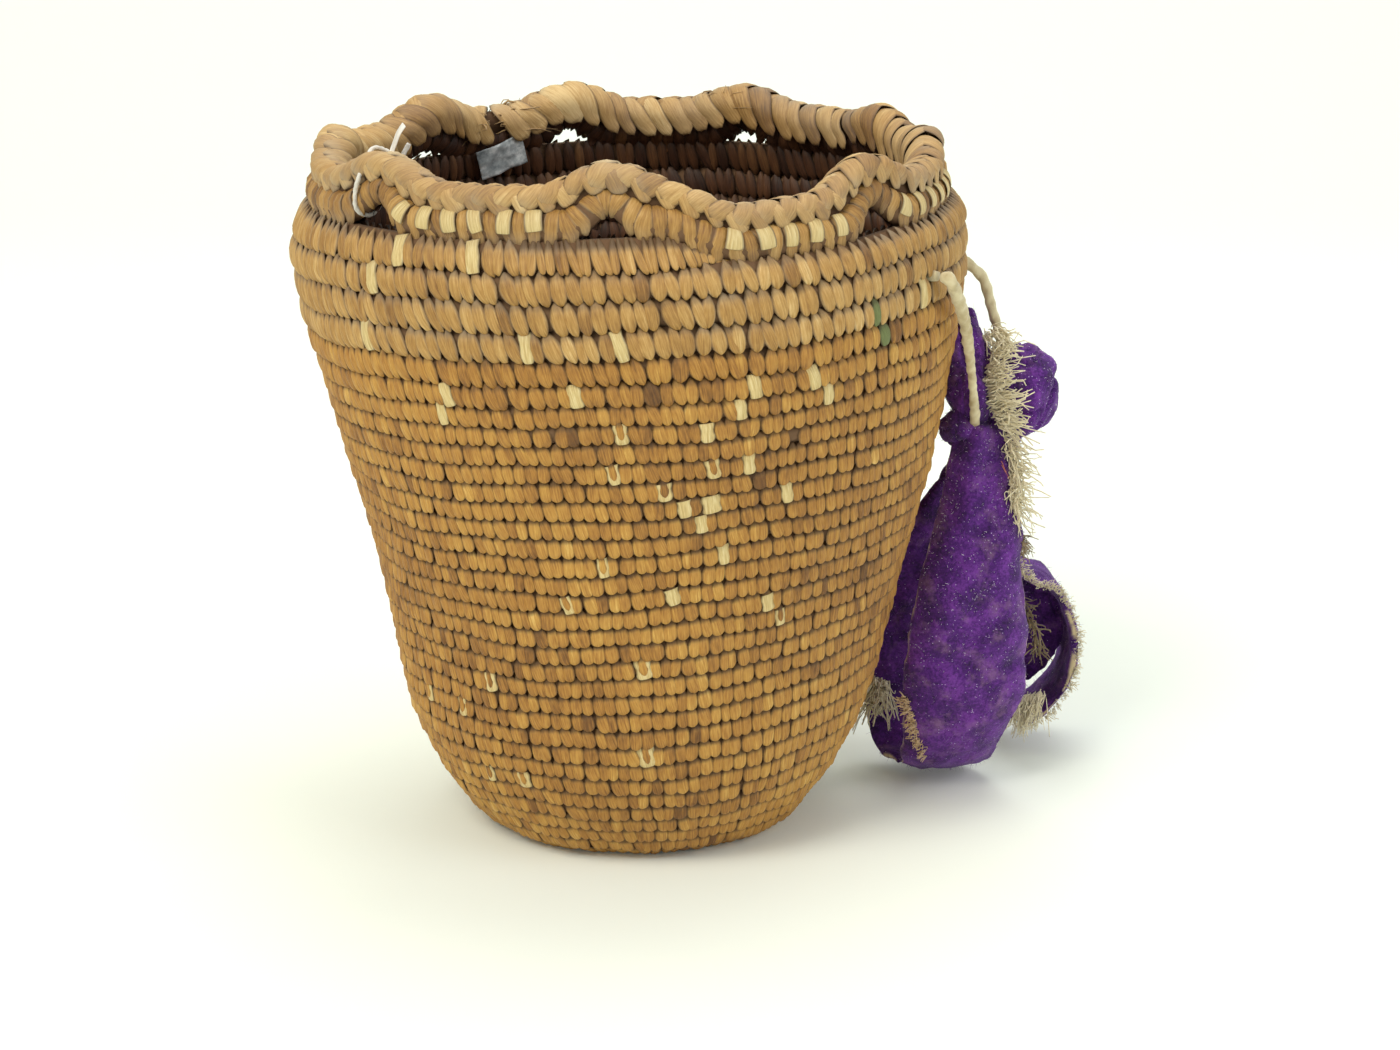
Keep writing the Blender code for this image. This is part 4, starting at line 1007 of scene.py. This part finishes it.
def threads(name, paths, radius, shade):
    """Thin three-sided threads, one along each short path; radius is at each step of a thread."""
    count, steps, _ = paths.shape
    along = unit(np.gradient(paths, axis=1))
    side = unit(np.cross(along, [0.31, 0.17, 0.93]))[:, :, None]
    up = np.cross(along[:, :, None], side)
    turn = np.arange(3)[:, None] * 2 * pi / 3
    radius = np.broadcast_to(radius, (count, steps))[:, :, None, None]
    points = paths[:, :, None] + radius * (side * np.cos(turn) + up * np.sin(turn))
    starts = np.arange(count)[:, None, None] * steps * 3
    caps = np.array([[0, 2, 1], [0, 1, 2]]) + [[0], [(steps - 1) * 3]]
    return new_mesh(name, points, shade, (starts + ring_faces(steps, 3)).reshape(-1, 4),
                    (starts + caps).reshape(-1, 3))


def thread_paths(roots, directions, lengths, chance, droop=0.3, curl=0.35, steps=6):
    """Paths of loose threads from their roots, bent at random and by their own weight."""
    t = np.linspace(0, 1, steps)[:, None]
    bend = (chance.normal(0, 1, roots.shape) * curl - [0.0, 0.0, droop])[:, None]
    twirl = (chance.normal(0, 1, roots.shape) * curl * 0.35)[:, None]
    way = directions[:, None] * t + bend * t ** 2 + twirl * np.sin(2 * pi * t)
    return roots[:, None] + way * lengths[:, None, None]


# Folds of the cloth above its falls: middle from the pivot, half sizes, turns about X and Y
UPPER_FOLD = ((0.0085, 0.0294, -0.0415), (0.0088, 0.0125, 0.0218), (-12.0, -7.0))
RIGHT_LOBE = ((0.0275, 0.0334, -0.0512), (0.0134, 0.0145, 0.0172), (-8.0, 16.0))
KNOT = ((0.0068, 0.0254, -0.0605), (0.0068, 0.0100, 0.0072), (0.0, 20.0))
ROLLED_END = ((0.0385, 0.0930, -0.1555), (0.0160, 0.0045, 0.0215), (0.0, 0.0))

# Falls of the cloth: middle of the strip from the pivot, half its width, bulge, and the angle
# that it faces
FRONT_FALL = (
    ((0.0135, 0.0230, -0.0595), 0.0070, 0.0050, -75.0),
    ((0.0125, 0.0220, -0.0690), 0.0115, 0.0060, -75.0),
    ((0.0122, 0.0214, -0.0877), 0.0145, 0.0075, -75.0),
    ((0.0108, 0.0184, -0.1097), 0.0184, 0.0085, -78.0),
    ((0.0102, 0.0189, -0.1347), 0.0222, 0.0090, -80.0),
    ((0.0097, 0.0234, -0.1577), 0.0224, 0.0085, -80.0),
    ((0.0074, 0.0314, -0.1787), 0.0188, 0.0065, -80.0),
    ((0.0052, 0.0419, -0.1905), 0.0165, 0.0030, -80.0),
    ((0.0007, 0.0534, -0.1940), 0.0140, 0.0005, -80.0),
)
REAR_FALL = (
    ((0.0112, 0.0304, -0.0677), 0.0065, 0.0020, -70.0),
    ((0.0100, 0.0444, -0.0787), 0.0070, 0.0025, -70.0),
    ((0.0050, 0.0549, -0.0937), 0.0085, 0.0030, -70.0),
    ((0.0002, 0.0594, -0.1097), 0.0115, 0.0040, -70.0),
    ((-0.0058, 0.0624, -0.1347), 0.0150, 0.0045, -72.0),
    ((-0.0083, 0.0664, -0.1597), 0.0160, 0.0045, -74.0),
    ((-0.0083, 0.0684, -0.1797), 0.0155, 0.0030, -76.0),
    ((-0.0048, 0.0629, -0.1912), 0.0150, 0.0015, -78.0),
    ((0.0012, 0.0524, -0.1935), 0.0148, 0.0005, -80.0),
)
SIDE_CURL = (
    ((0.0267, 0.0364, -0.0597), 0.0070, 0.0, 0.0),
    ((0.0262, 0.0424, -0.0717), 0.0080, 0.0, 0.0),
    ((0.0252, 0.0534, -0.0897), 0.0095, 0.0, 0.0),
    ((0.0262, 0.0654, -0.1097), 0.0120, 0.0, 0.0),
    ((0.0352, 0.0764, -0.1267), 0.0140, 0.0, 0.0),
    ((0.0472, 0.0824, -0.1357), 0.0150, 0.0, 0.0),
    ((0.0552, 0.0844, -0.1517), 0.0150, 0.0, 0.0),
    ((0.0532, 0.0854, -0.1727), 0.0150, 0.0, 0.0),
    ((0.0412, 0.0854, -0.1867), 0.0150, 0.0, 0.0),
    ((0.0282, 0.0844, -0.1817), 0.0140, 0.0, 0.0),
    ((0.0232, 0.0834, -0.1667), 0.0120, 0.0, 0.0),
)


class Strip:
    """A strip of cloth along its stations: where it runs, how wide it is and which way it faces."""

    def __init__(self, stations):
        rows = smooth([(*middle, *sizes) for middle, *sizes in stations], 0.0014)
        self.middle = STRAP_PIVOT + rows[:, :3]
        self.half, self.bulge, facing = rows[:, 3], rows[:, 4], np.radians(rows[:, 5])
        along = unit(np.gradient(self.middle, axis=0))
        across = np.stack([-np.sin(facing), np.cos(facing), 0 * facing], axis=-1)
        self.across = unit(across - along * np.sum(across * along, axis=1)[:, None])
        self.normal = np.cross(along, self.across)

    def at(self, row, side, lift):
        """Points of the strip's face: side runs from -1 to 1, and lift is measured off the middle."""
        bow = self.bulge[row] * (1 - np.abs(side) ** 2.2)
        slope = 2.2 * self.bulge[row] / self.half[row] * np.sign(side) * np.abs(side) ** 1.2
        face = unit(self.normal[row] + self.across[row] * slope[..., None])
        return (self.middle[row] + self.across[row] * (self.half[row] * side)[..., None]
                + self.normal[row] * bow[..., None] + face * np.asarray(lift)[..., None]), face

    def rows_between(self, first, last, count):
        """Rows of the strip from one share of its length to another."""
        return np.linspace(int(first * len(self.half)), int(last * len(self.half)), count).astype(int)


def hang_strip(name, strip, seed, pleats=0.0, crease=(0.5, 0.0)):
    """The strip as cloth with a felted thickness, soft folds and worn edges."""
    spread = np.sin(np.linspace(-1, 1, 33) * pi / 2 * 0.97) / sin(pi / 2 * 0.97)
    side = np.concatenate([spread[::-1], spread[1:-1]])
    face = np.concatenate([np.ones(33), -np.ones(31)])
    rows = len(strip.half)
    share = np.linspace(0, 1, rows)[:, None]
    ends = np.clip(np.minimum(share, 1 - share) * rows / 2, 0, 1) ** 0.5
    lift = face * CLOTH_THICKNESS / 2 * rounded(side, 10, 0.5) * (0.12 + 0.88 * ends)
    length = measure(strip.middle)[:, None]
    lift = lift + pleats * np.sin(side * 5.2 + length * 26 + seed) * (1 - share) ** 1.2
    place, depth = crease
    lift = lift - depth * np.exp(-((length / length[-1] - place - 0.03 * side) / 0.022) ** 2)
    points, _ = strip.at(np.arange(rows)[:, None], side, lift)
    made = skin(name, points, purple_wool)
    cut = np.clip((np.abs(side) - 0.965) / 0.03, 0, 1)
    write_attribute(made.data, "cut", [*np.tile(cut, rows), 0, 0])
    roughen(made, ((0.019, 0.0016), (0.007, 0.0009), (0.0017, 0.00035)), seed)
    return dress(made, *STRAP_WOOL, "cloth_" + name)


def bunch_fold(name, middle, half_sizes, turned, seed, *replaced):
    """A bunched fold: a soft lump with the furrows of folded cloth."""
    mesh = bpy.data.meshes.new(name)
    shape = bmesh.new()
    bmesh.ops.create_icosphere(shape, subdivisions=5, radius=1.0)
    for vert in shape.verts:
        x, y, z = vert.co
        furrow = abs(noise.noise(Vector((x * 1.6, y * 1.6, z * 0.7 + seed))))
        vert.co *= 1.0 - 0.14 * max(0.0, 1 - furrow / 0.16) ** 2
    about_x, about_y = (Matrix.Rotation(radians(angle), 4, axis) for angle, axis in zip(turned, "XY"))
    shape.transform(Matrix.Translation(STRAP_PIVOT + np.array(middle)) @ about_y @ about_x
                    @ Matrix.Diagonal([*half_sizes, 1.0]))
    shape.to_mesh(mesh)
    shape.free()
    made = place_mesh(name, mesh, purple_wool)
    roughen(made, ((0.012, 0.0022), (0.005, 0.0009), (0.0016, 0.00035)), seed)
    return dress(made, *STRAP_WOOL, *replaced)


def scatter(pieces, count, chance):
    """Random points on the faces of several pieces, with the normal at each."""
    corners = []
    for piece in pieces:
        mesh = piece.data
        mesh.calc_loop_triangles()
        places = np.empty(len(mesh.vertices) * 3, np.float32)
        mesh.vertices.foreach_get("co", places)
        index = np.empty(len(mesh.loop_triangles) * 3, np.int32)
        mesh.loop_triangles.foreach_get("vertices", index)
        corners.append(places.reshape(-1, 3)[index.reshape(-1, 3)])
    first, second, third = np.vstack(corners).transpose(1, 0, 2)
    cross = np.cross(second - first, third - first)
    area = np.linalg.norm(cross, axis=1)
    pick = chance.choice(len(area), count, p=area / area.sum())
    a, b = chance.random((2, count, 1))
    a, b = np.where(a + b > 1, 1 - a, a), np.where(a + b > 1, 1 - b, b)
    first, second, third = first[pick], second[pick], third[pick]
    return first + a * (second - first) + b * (third - first), unit(cross[pick])


def fray(name, line, toward, lengths, count, spread, seed, shade, droop=0.3, curl=0.35,
         radius=0.00022, steps=6):
    """Frayed threads from a line of points, each point with the way that its threads run."""
    chance = np.random.default_rng(seed)
    line = STRAP_PIVOT + np.array(line)
    toward = unit(np.array(toward, float) * np.ones_like(line))
    place, known = chance.random(count) * (len(line) - 1), np.arange(len(line))
    roots = between(place, known, line) + chance.normal(0, 0.0007, (count, 3))
    ways = unit(between(place, known, toward) + chance.normal(0, spread, (count, 3)))
    sizes = chance.uniform(*lengths, count)
    paths = thread_paths(roots, ways, sizes, chance, droop, curl, steps)
    taper = radius * np.linspace(1.0, 0.7, steps) * chance.uniform(0.7, 1.2, (count, 1))
    return dress(threads(name, paths, taper, shade), *STRAP_WOOL)


# Along the fringes of the cloth: points from the pivot, and the ways that the threads run there
LOBE_EDGE = (
    ((0.0175, 0.0255, -0.0330), (0.0150, 0.0208, -0.0400), (0.0145, 0.0188, -0.0465),
     (0.0170, 0.0180, -0.0540), (0.0195, 0.0185, -0.0595)),
    ((0.75, -0.35, 0.35), (0.75, -0.25, 0.55), (0.8, -0.2, 0.45), (0.9, -0.25, 0.15),
     (0.9, -0.3, -0.1)))
TOP_EDGE = (
    ((0.0125, 0.0260, -0.0300), (0.0170, 0.0275, -0.0270), (0.0205, 0.0310, -0.0290)),
    (0.55, -0.5, -0.25))
SIDE_EDGE = (
    ((0.0215, 0.0195, -0.0620), (0.0235, 0.0195, -0.0690), (0.0245, 0.0190, -0.0770),
     (0.0245, 0.0185, -0.0840), (0.0245, 0.0190, -0.0900)),
    ((0.5, -0.35, -0.5), (0.6, -0.25, -0.6), (0.5, -0.25, -0.7), (0.6, -0.1, -0.5),
     (0.4, -0.1, -0.8)))
CURL_INNER = (
    ((0.0330, 0.0730, -0.1380), (0.0400, 0.0700, -0.1480), (0.0420, 0.0720, -0.1600)),
    (0.2, -0.7, -0.4))
CURL_TUFT = (((0.0360, 0.0640, -0.1760), (0.0440, 0.0640, -0.1735)), (-0.45, -0.35, -0.8))
REAR_TUFT = (((-0.0205, 0.0600, -0.1660), (-0.0150, 0.0580, -0.1680)),
             ((-0.35, -0.25, -0.9), (0.1, -0.25, -0.95)))
UPPER_TUFT = (((0.0270, 0.0230, -0.0990), (0.0275, 0.0300, -0.1060)), (0.6, -0.3, -0.5))
ORANGE_FIBRES = (((0.0145, 0.0095, -0.0745), (0.0225, 0.0140, -0.0700)),
                 ((1.0, 0.0, -0.5), (0.3, -0.1, -0.9)))
NAP_COUNT, LINT_COUNT = 9000, 2600


def raise_nap(falls, folds):
    """Short fibres all over the cloth, and pale lint on its folds and high on its first fall."""
    chance = np.random.default_rng(41)
    roots, normals = scatter([*falls, *folds], NAP_COUNT, chance)
    ways = unit(normals + chance.normal(0, 0.75, normals.shape))
    paths = thread_paths(roots - normals * 0.0002, ways, chance.uniform(0.0007, 0.0019, NAP_COUNT),
                         chance, droop=0.1, curl=0.5, steps=3)
    nap = dress(threads("cloth_nap", paths, (0.00005, 0.00004, 0.00002), wool_nap), *STRAP_WOOL)
    roots, normals = scatter([*folds, falls[0], falls[0]], LINT_COUNT, chance)
    high = roots[:, 2] > 0.035 + 0.06 * chance.random(LINT_COUNT)
    roots, normals = roots[high], normals[high]
    ways = unit(chance.normal(0, 1, roots.shape) + normals * 0.3)
    paths = thread_paths(roots + normals * 0.0002, ways, chance.uniform(0.0002, 0.0008, len(roots)),
                         chance, droop=0.0, curl=0.4, steps=4)
    lint = dress(threads("cloth_lint", paths, 0.00007, white_lint), *STRAP_WOOL)
    return nap, lint


def clothe_strap():
    front, rear, curl = Strip(FRONT_FALL), Strip(REAR_FALL), Strip(SIDE_CURL)
    front_fall = hang_strip("front_fall", front, 3, pleats=0.0012, crease=(0.56, 0.0014))
    rear_fall = hang_strip("rear_fall", rear, 5, pleats=0.0008)
    side_curl = hang_strip("side_curl", curl, 7)
    upper = bunch_fold("upper_fold", *UPPER_FOLD, 1.0, "cloth_upper_fold")
    lobe = bunch_fold("right_lobe", *RIGHT_LOBE, 2.3, "cloth_right_lobe")
    knot = bunch_fold("knot_fold", *KNOT, 4.1, "cloth_knot")
    # The frayed edge lies over the lobe, goes down the front fall's right side and round the curl
    lobe_fringe = fray("lobe_fringe", *LOBE_EDGE, (0.006, 0.011), 250, 0.24, 31, cream_warp,
                       droop=0.08, curl=0.26, radius=0.00034)
    top_fringe = fray("top_fringe", *TOP_EDGE, (0.003, 0.008), 90, 0.35, 32, cream_warp, curl=0.2,
                      radius=0.00032)
    side_fringe = fray("side_fringe", *SIDE_EDGE, (0.004, 0.009), 210, 0.34, 33, cream_warp,
                       droop=0.25, curl=0.4, radius=0.00032)
    rows = curl.rows_between(0.30, 0.90, 40)
    edge, _ = curl.at(rows, -1.0, 0.0010)
    curl_fringe = fray("curl_fringe", edge - STRAP_PIVOT, curl.normal[rows] + [0.0, -0.55, 0.0],
                       (0.0008, 0.0022), 620, 0.30, 34, cream_warp, droop=0.1, radius=0.00020,
                       steps=4)
    end = bunch_fold("curl_rolled_end", *ROLLED_END, 6.2)
    inside = fray("curl_inner_fringe", *CURL_INNER, (0.003, 0.006), 90, 0.5, 35, brown_warp,
                  radius=0.00030)
    low_tuft = fray("curl_tuft", *CURL_TUFT, (0.006, 0.011), 170, 0.22, 36, cream_warp, curl=0.2)
    rear_tuft = fray("rear_tuft", *REAR_TUFT, (0.008, 0.013), 70, 0.18, 37, cream_warp, curl=0.30,
                     radius=0.00038)
    upper_tuft = fray("curl_upper_tuft", *UPPER_TUFT, (0.003, 0.006), 90, 0.35, 38, brown_warp)
    rows = front.rows_between(0.66, 0.82, 16)
    edge, face = front.at(rows, np.linspace(-0.95, -0.62, 16), 0.0014)
    left_edge = fray("front_edge_stitches", edge - STRAP_PIVOT, face * 0.5 - front.across[rows],
                     (0.0018, 0.0032), 240, 0.30, 39, tan_warp, droop=0.0, radius=0.00026, steps=4)
    orange = fray("orange_fibres", *ORANGE_FIBRES, (0.004, 0.006), 2, 0.05, 40, orange_fibre,
                  radius=0.00016)
    nap, lint = raise_nap((front_fall, rear_fall, side_curl), (upper, lobe, knot))


LEFT_ROUTE = (LEFT_EXIT, (0.1027, -0.05783, 0.20221), (0.10787, -0.04751, 0.18954),
              (0.11177, -0.03401, 0.17304), (0.11507, -0.01801, 0.15604),
              (0.11727, -0.00501, 0.14204), (0.11727, -0.00201, 0.13704))
RIGHT_ROUTE = (RIGHT_EXIT, (0.11495, 0.01218, 0.19474), (0.12067, 0.01299, 0.18904),
               (0.12447, 0.01249, 0.17704), (0.12797, 0.01149, 0.16604), (0.12997, 0.01119, 0.16004))
INNER_ROUTE = (
    (0.09867, -0.05561, 0.20352), (0.09413, -0.05311, 0.20363), (0.09041, -0.05106, 0.20373),
    (0.08866, -0.05009, 0.20378), (0.08894, -0.0434, 0.20385), (0.09052, -0.03738, 0.2019),
    (0.09281, -0.02969, 0.19998), (0.09487, -0.02325, 0.19991), (0.09716, -0.0161, 0.20029),
    (0.09867, -0.00963, 0.20023), (0.09833, -0.00179, 0.19839), (0.09756, 0.00433, 0.19651),
    (0.09991, 0.01061, 0.19642), (0.1019, 0.01082, 0.19635), (0.10573, 0.01122, 0.19623),
    (0.11038, 0.0117, 0.19609),
)
LEFT_RADII = (0.0021, 0.0021, 0.0020, 0.0018, 0.0014, 0.0013, 0.0017, 0.0015)
RIGHT_RADII = (0.0020, 0.0019, 0.0017, 0.0017, 0.0016)
INNER_RADII = (0.0018, 0.0018)


def string_cords():
    for side, route, radii, seed in (("left", LEFT_ROUTE, LEFT_RADII, 1),
                                     ("right", RIGHT_ROUTE, RIGHT_RADII, 2)):
        leg, path = twist_cord(f"{side}_leg", route, radii, cotton, seed)
        dress(leg, "strap", "cotton_cord", f"cord_leg_{side}")
    inner, _ = twist_cord("lacing_inside", INNER_ROUTE, INNER_RADII, cotton, 3)
    dress(inner, "basket", "cotton_cord", "lacing_cord")


# The tape stuck inside the rim, and the thread looped through the left arch

TAPE_SIZE = (0.0190, 0.0118, 0.0003)
TAPE_MIDDLE = (-0.0508, 0.0854, 0.2207)
TAPE_TILT, TAPE_TURN, TAPE_LEAN = -18.0, 29.0, 14.0
THREAD_ROUTE = (
    (-0.07234, -0.05072, 0.24606), (-0.07367, -0.05170, 0.24379), (-0.07504, -0.05272, 0.24182),
    (-0.07642, -0.05374, 0.23997), (-0.07768, -0.05467, 0.23778), (-0.07870, -0.05543, 0.23482),
    (-0.07961, -0.05610, 0.23153), (-0.08060, -0.05683, 0.22879), (-0.08237, -0.05814, 0.22608),
    (-0.08428, -0.05955, 0.22475), (-0.08652, -0.06121, 0.22514), (-0.08835, -0.06256, 0.22680),
    (-0.08898, -0.06303, 0.22940), (-0.08874, -0.06285, 0.23288), (-0.08802, -0.06232, 0.23584),
    (-0.08694, -0.06152, 0.23912), (-0.08582, -0.06069, 0.24187), (-0.08430, -0.05957, 0.24471),
    (-0.08254, -0.05827, 0.24612), (-0.08020, -0.05654, 0.24531), (-0.07766, -0.05465, 0.24366),
)
THREAD_TAIL = ((-0.0820, -0.0586, 0.2445), (-0.0784, -0.0560, 0.2432), (-0.0768, -0.0555, 0.2462),
               (-0.0752, -0.0555, 0.2502), (-0.0733, -0.0555, 0.2530))
TAIL_HALF = 0.00035  # half the thickness of the thread's flat tail


def stick_tape():
    x, y = (np.linspace(-0.5, 0.5, count) * size for count, size in zip((28, 18), TAPE_SIZE))
    around = [(up, 1.0) for up in y] + [(up, -1.0) for up in y[::-1]]
    rings = np.array([[(across, up, face) for up, face in around] for across in x])
    across, up, face = rings.transpose(2, 0, 1)
    fine = [noise.noise(Vector((a, b * 1.7, 0.0)) * 190) for a, b in zip(across.flat, up.flat)]
    broad = [noise.noise(Vector((a * 1.5, b, 0.3)) * 60) for a, b in zip(across.flat, up.flat)]
    wrinkle = np.reshape(np.array(fine) * 0.0007 + np.array(broad) * 0.0009, face.shape)
    rings[..., 2] = face * TAPE_SIZE[2] / 2 + wrinkle - across ** 2 * 2.2
    turn = (Matrix.Rotation(radians(TAPE_TURN), 3, "Z")
            @ Matrix.Rotation(pi / 2 + radians(TAPE_LEAN), 3, "X")
            @ Matrix.Rotation(radians(-TAPE_TILT), 3, "Z"))
    made = skin("tape_strip", rings @ np.array(turn).T + np.array(TAPE_MIDDLE), grey_tape)
    dress(made, "basket", "grey_tape", "inner_tape")


def loop_thread():
    made, _ = twist_cord("loop_thread", THREAD_ROUTE, (0.00072, 0.00065), white_cotton, 4, 0.004)
    path = smooth(THREAD_TAIL, 0.0005)
    sides, ups = carried_sides(path)
    turn = (np.arange(12) * pi / 6)[:, None]
    wide = np.interp(np.linspace(0, 1, len(path)), (0, 0.25, 1), (0.0006, 0.0016, 0.0017))
    across = (sides * wide[:, None])[:, None] * np.cos(turn)
    rings = path[:, None] + across + TAIL_HALF * ups[:, None] * np.sin(turn)
    tail = skin("thread_tail", rings, white_cotton)
    dress(made, "basket", "white_thread", "tag_string")
    dress(tail, "basket", "white_thread")


string_cords()
clothe_strap()
build_wall()
wrap_rim_coil()
plait_rim()
loosen_splints()
stick_tape()
loop_thread()


# Floor and lights

SWEEP_SIZE, SWEEP_BACK, SWEEP_CURVE, SWEEP_TOP = 3.0, 1.2, 0.9, 2.5


def paper_material():
    """White paper that the camera sees lit from behind, as on a light table, more so farther back."""
    made = new_material("white_paper", 0.9, "F4FAF0", Emission_Color=linear("FDFFF2"))
    tree = made.node_tree
    seen = add_node(tree, "LightPath", out="Is Camera Ray")
    rays = seen.node.outputs
    for label in ("Is Glossy Ray", "Is Transmission Ray"):
        seen = add_node(tree, "Math", {0: seen, 1: rays[label]}, operation="ADD", use_clamp=True)
    place = add_node(tree, "TexCoord", out="Object")
    back = add_node(tree, "SeparateXYZ", {0: place}, out="Y")
    amount = add_node(tree, "MapRange", {0: back, 1: 0.0, 2: 0.9, 3: 0.03, 4: 0.11})
    glow = add_node(tree, "Math", {0: seen, 1: amount}, operation="MULTIPLY")
    tree.links.new(glow, tree.nodes["Principled BSDF"].inputs["Emission Strength"])
    return made


def build_stage():
    turn = np.linspace(0, pi / 2, 24)[1:]
    profile = [(-SWEEP_SIZE, 0.0), (SWEEP_BACK, 0.0)]
    profile += [(SWEEP_BACK + SWEEP_CURVE * sin(a), SWEEP_CURVE * (1 - cos(a))) for a in turn]
    profile.append((SWEEP_BACK + SWEEP_CURVE, SWEEP_TOP))
    points = np.array([(x, y, z) for y, z in profile for x in (-SWEEP_SIZE, SWEEP_SIZE)])
    quads = 2 * np.arange(len(profile) - 1)[:, None] + [0, 1, 3, 2]
    new_mesh("pale_sweep", points, paper_material(), quads)


# Where each light hangs, its width, its power and its colour; all three look at the basket
LIGHTS = (
    ("key_light", (-0.9, -1.2, 1.7), 0.9, 27.0, "FFFAF0"),
    ("fill_light", (1.5, -0.9, 1.1), 1.0, 9.5, "F8F8FF"),
    ("top_light", (0.2, 0.5, 2.0), 1.4, 16.0, "FFFFFF"),
)
LIGHTS_AIM = Vector((0.0, 0.0, 0.12))


def build_lights():
    for name, place, size, power, colour in LIGHTS:
        data = bpy.data.lights.new(name, "AREA")
        data.shape = "RECTANGLE"
        data.size, data.size_y = size, size
        data.energy = power
        data.color = linear(colour)[:3]
        made = place_object(name, data)
        made.location = place
        made.rotation_mode = "QUATERNION"
        made.rotation_quaternion = (LIGHTS_AIM - Vector(place)).to_track_quat("-Z", "Y")
    world = bpy.data.worlds.new("pale_room")
    world.use_nodes = True
    bpy.context.scene.world = world
    background = world.node_tree.nodes["Background"].inputs
    background["Color"].default_value = linear("F6F7F4")
    background["Strength"].default_value = 0.55


build_stage()
build_lights()
bpy.context.scene.view_settings.view_transform = "Standard"
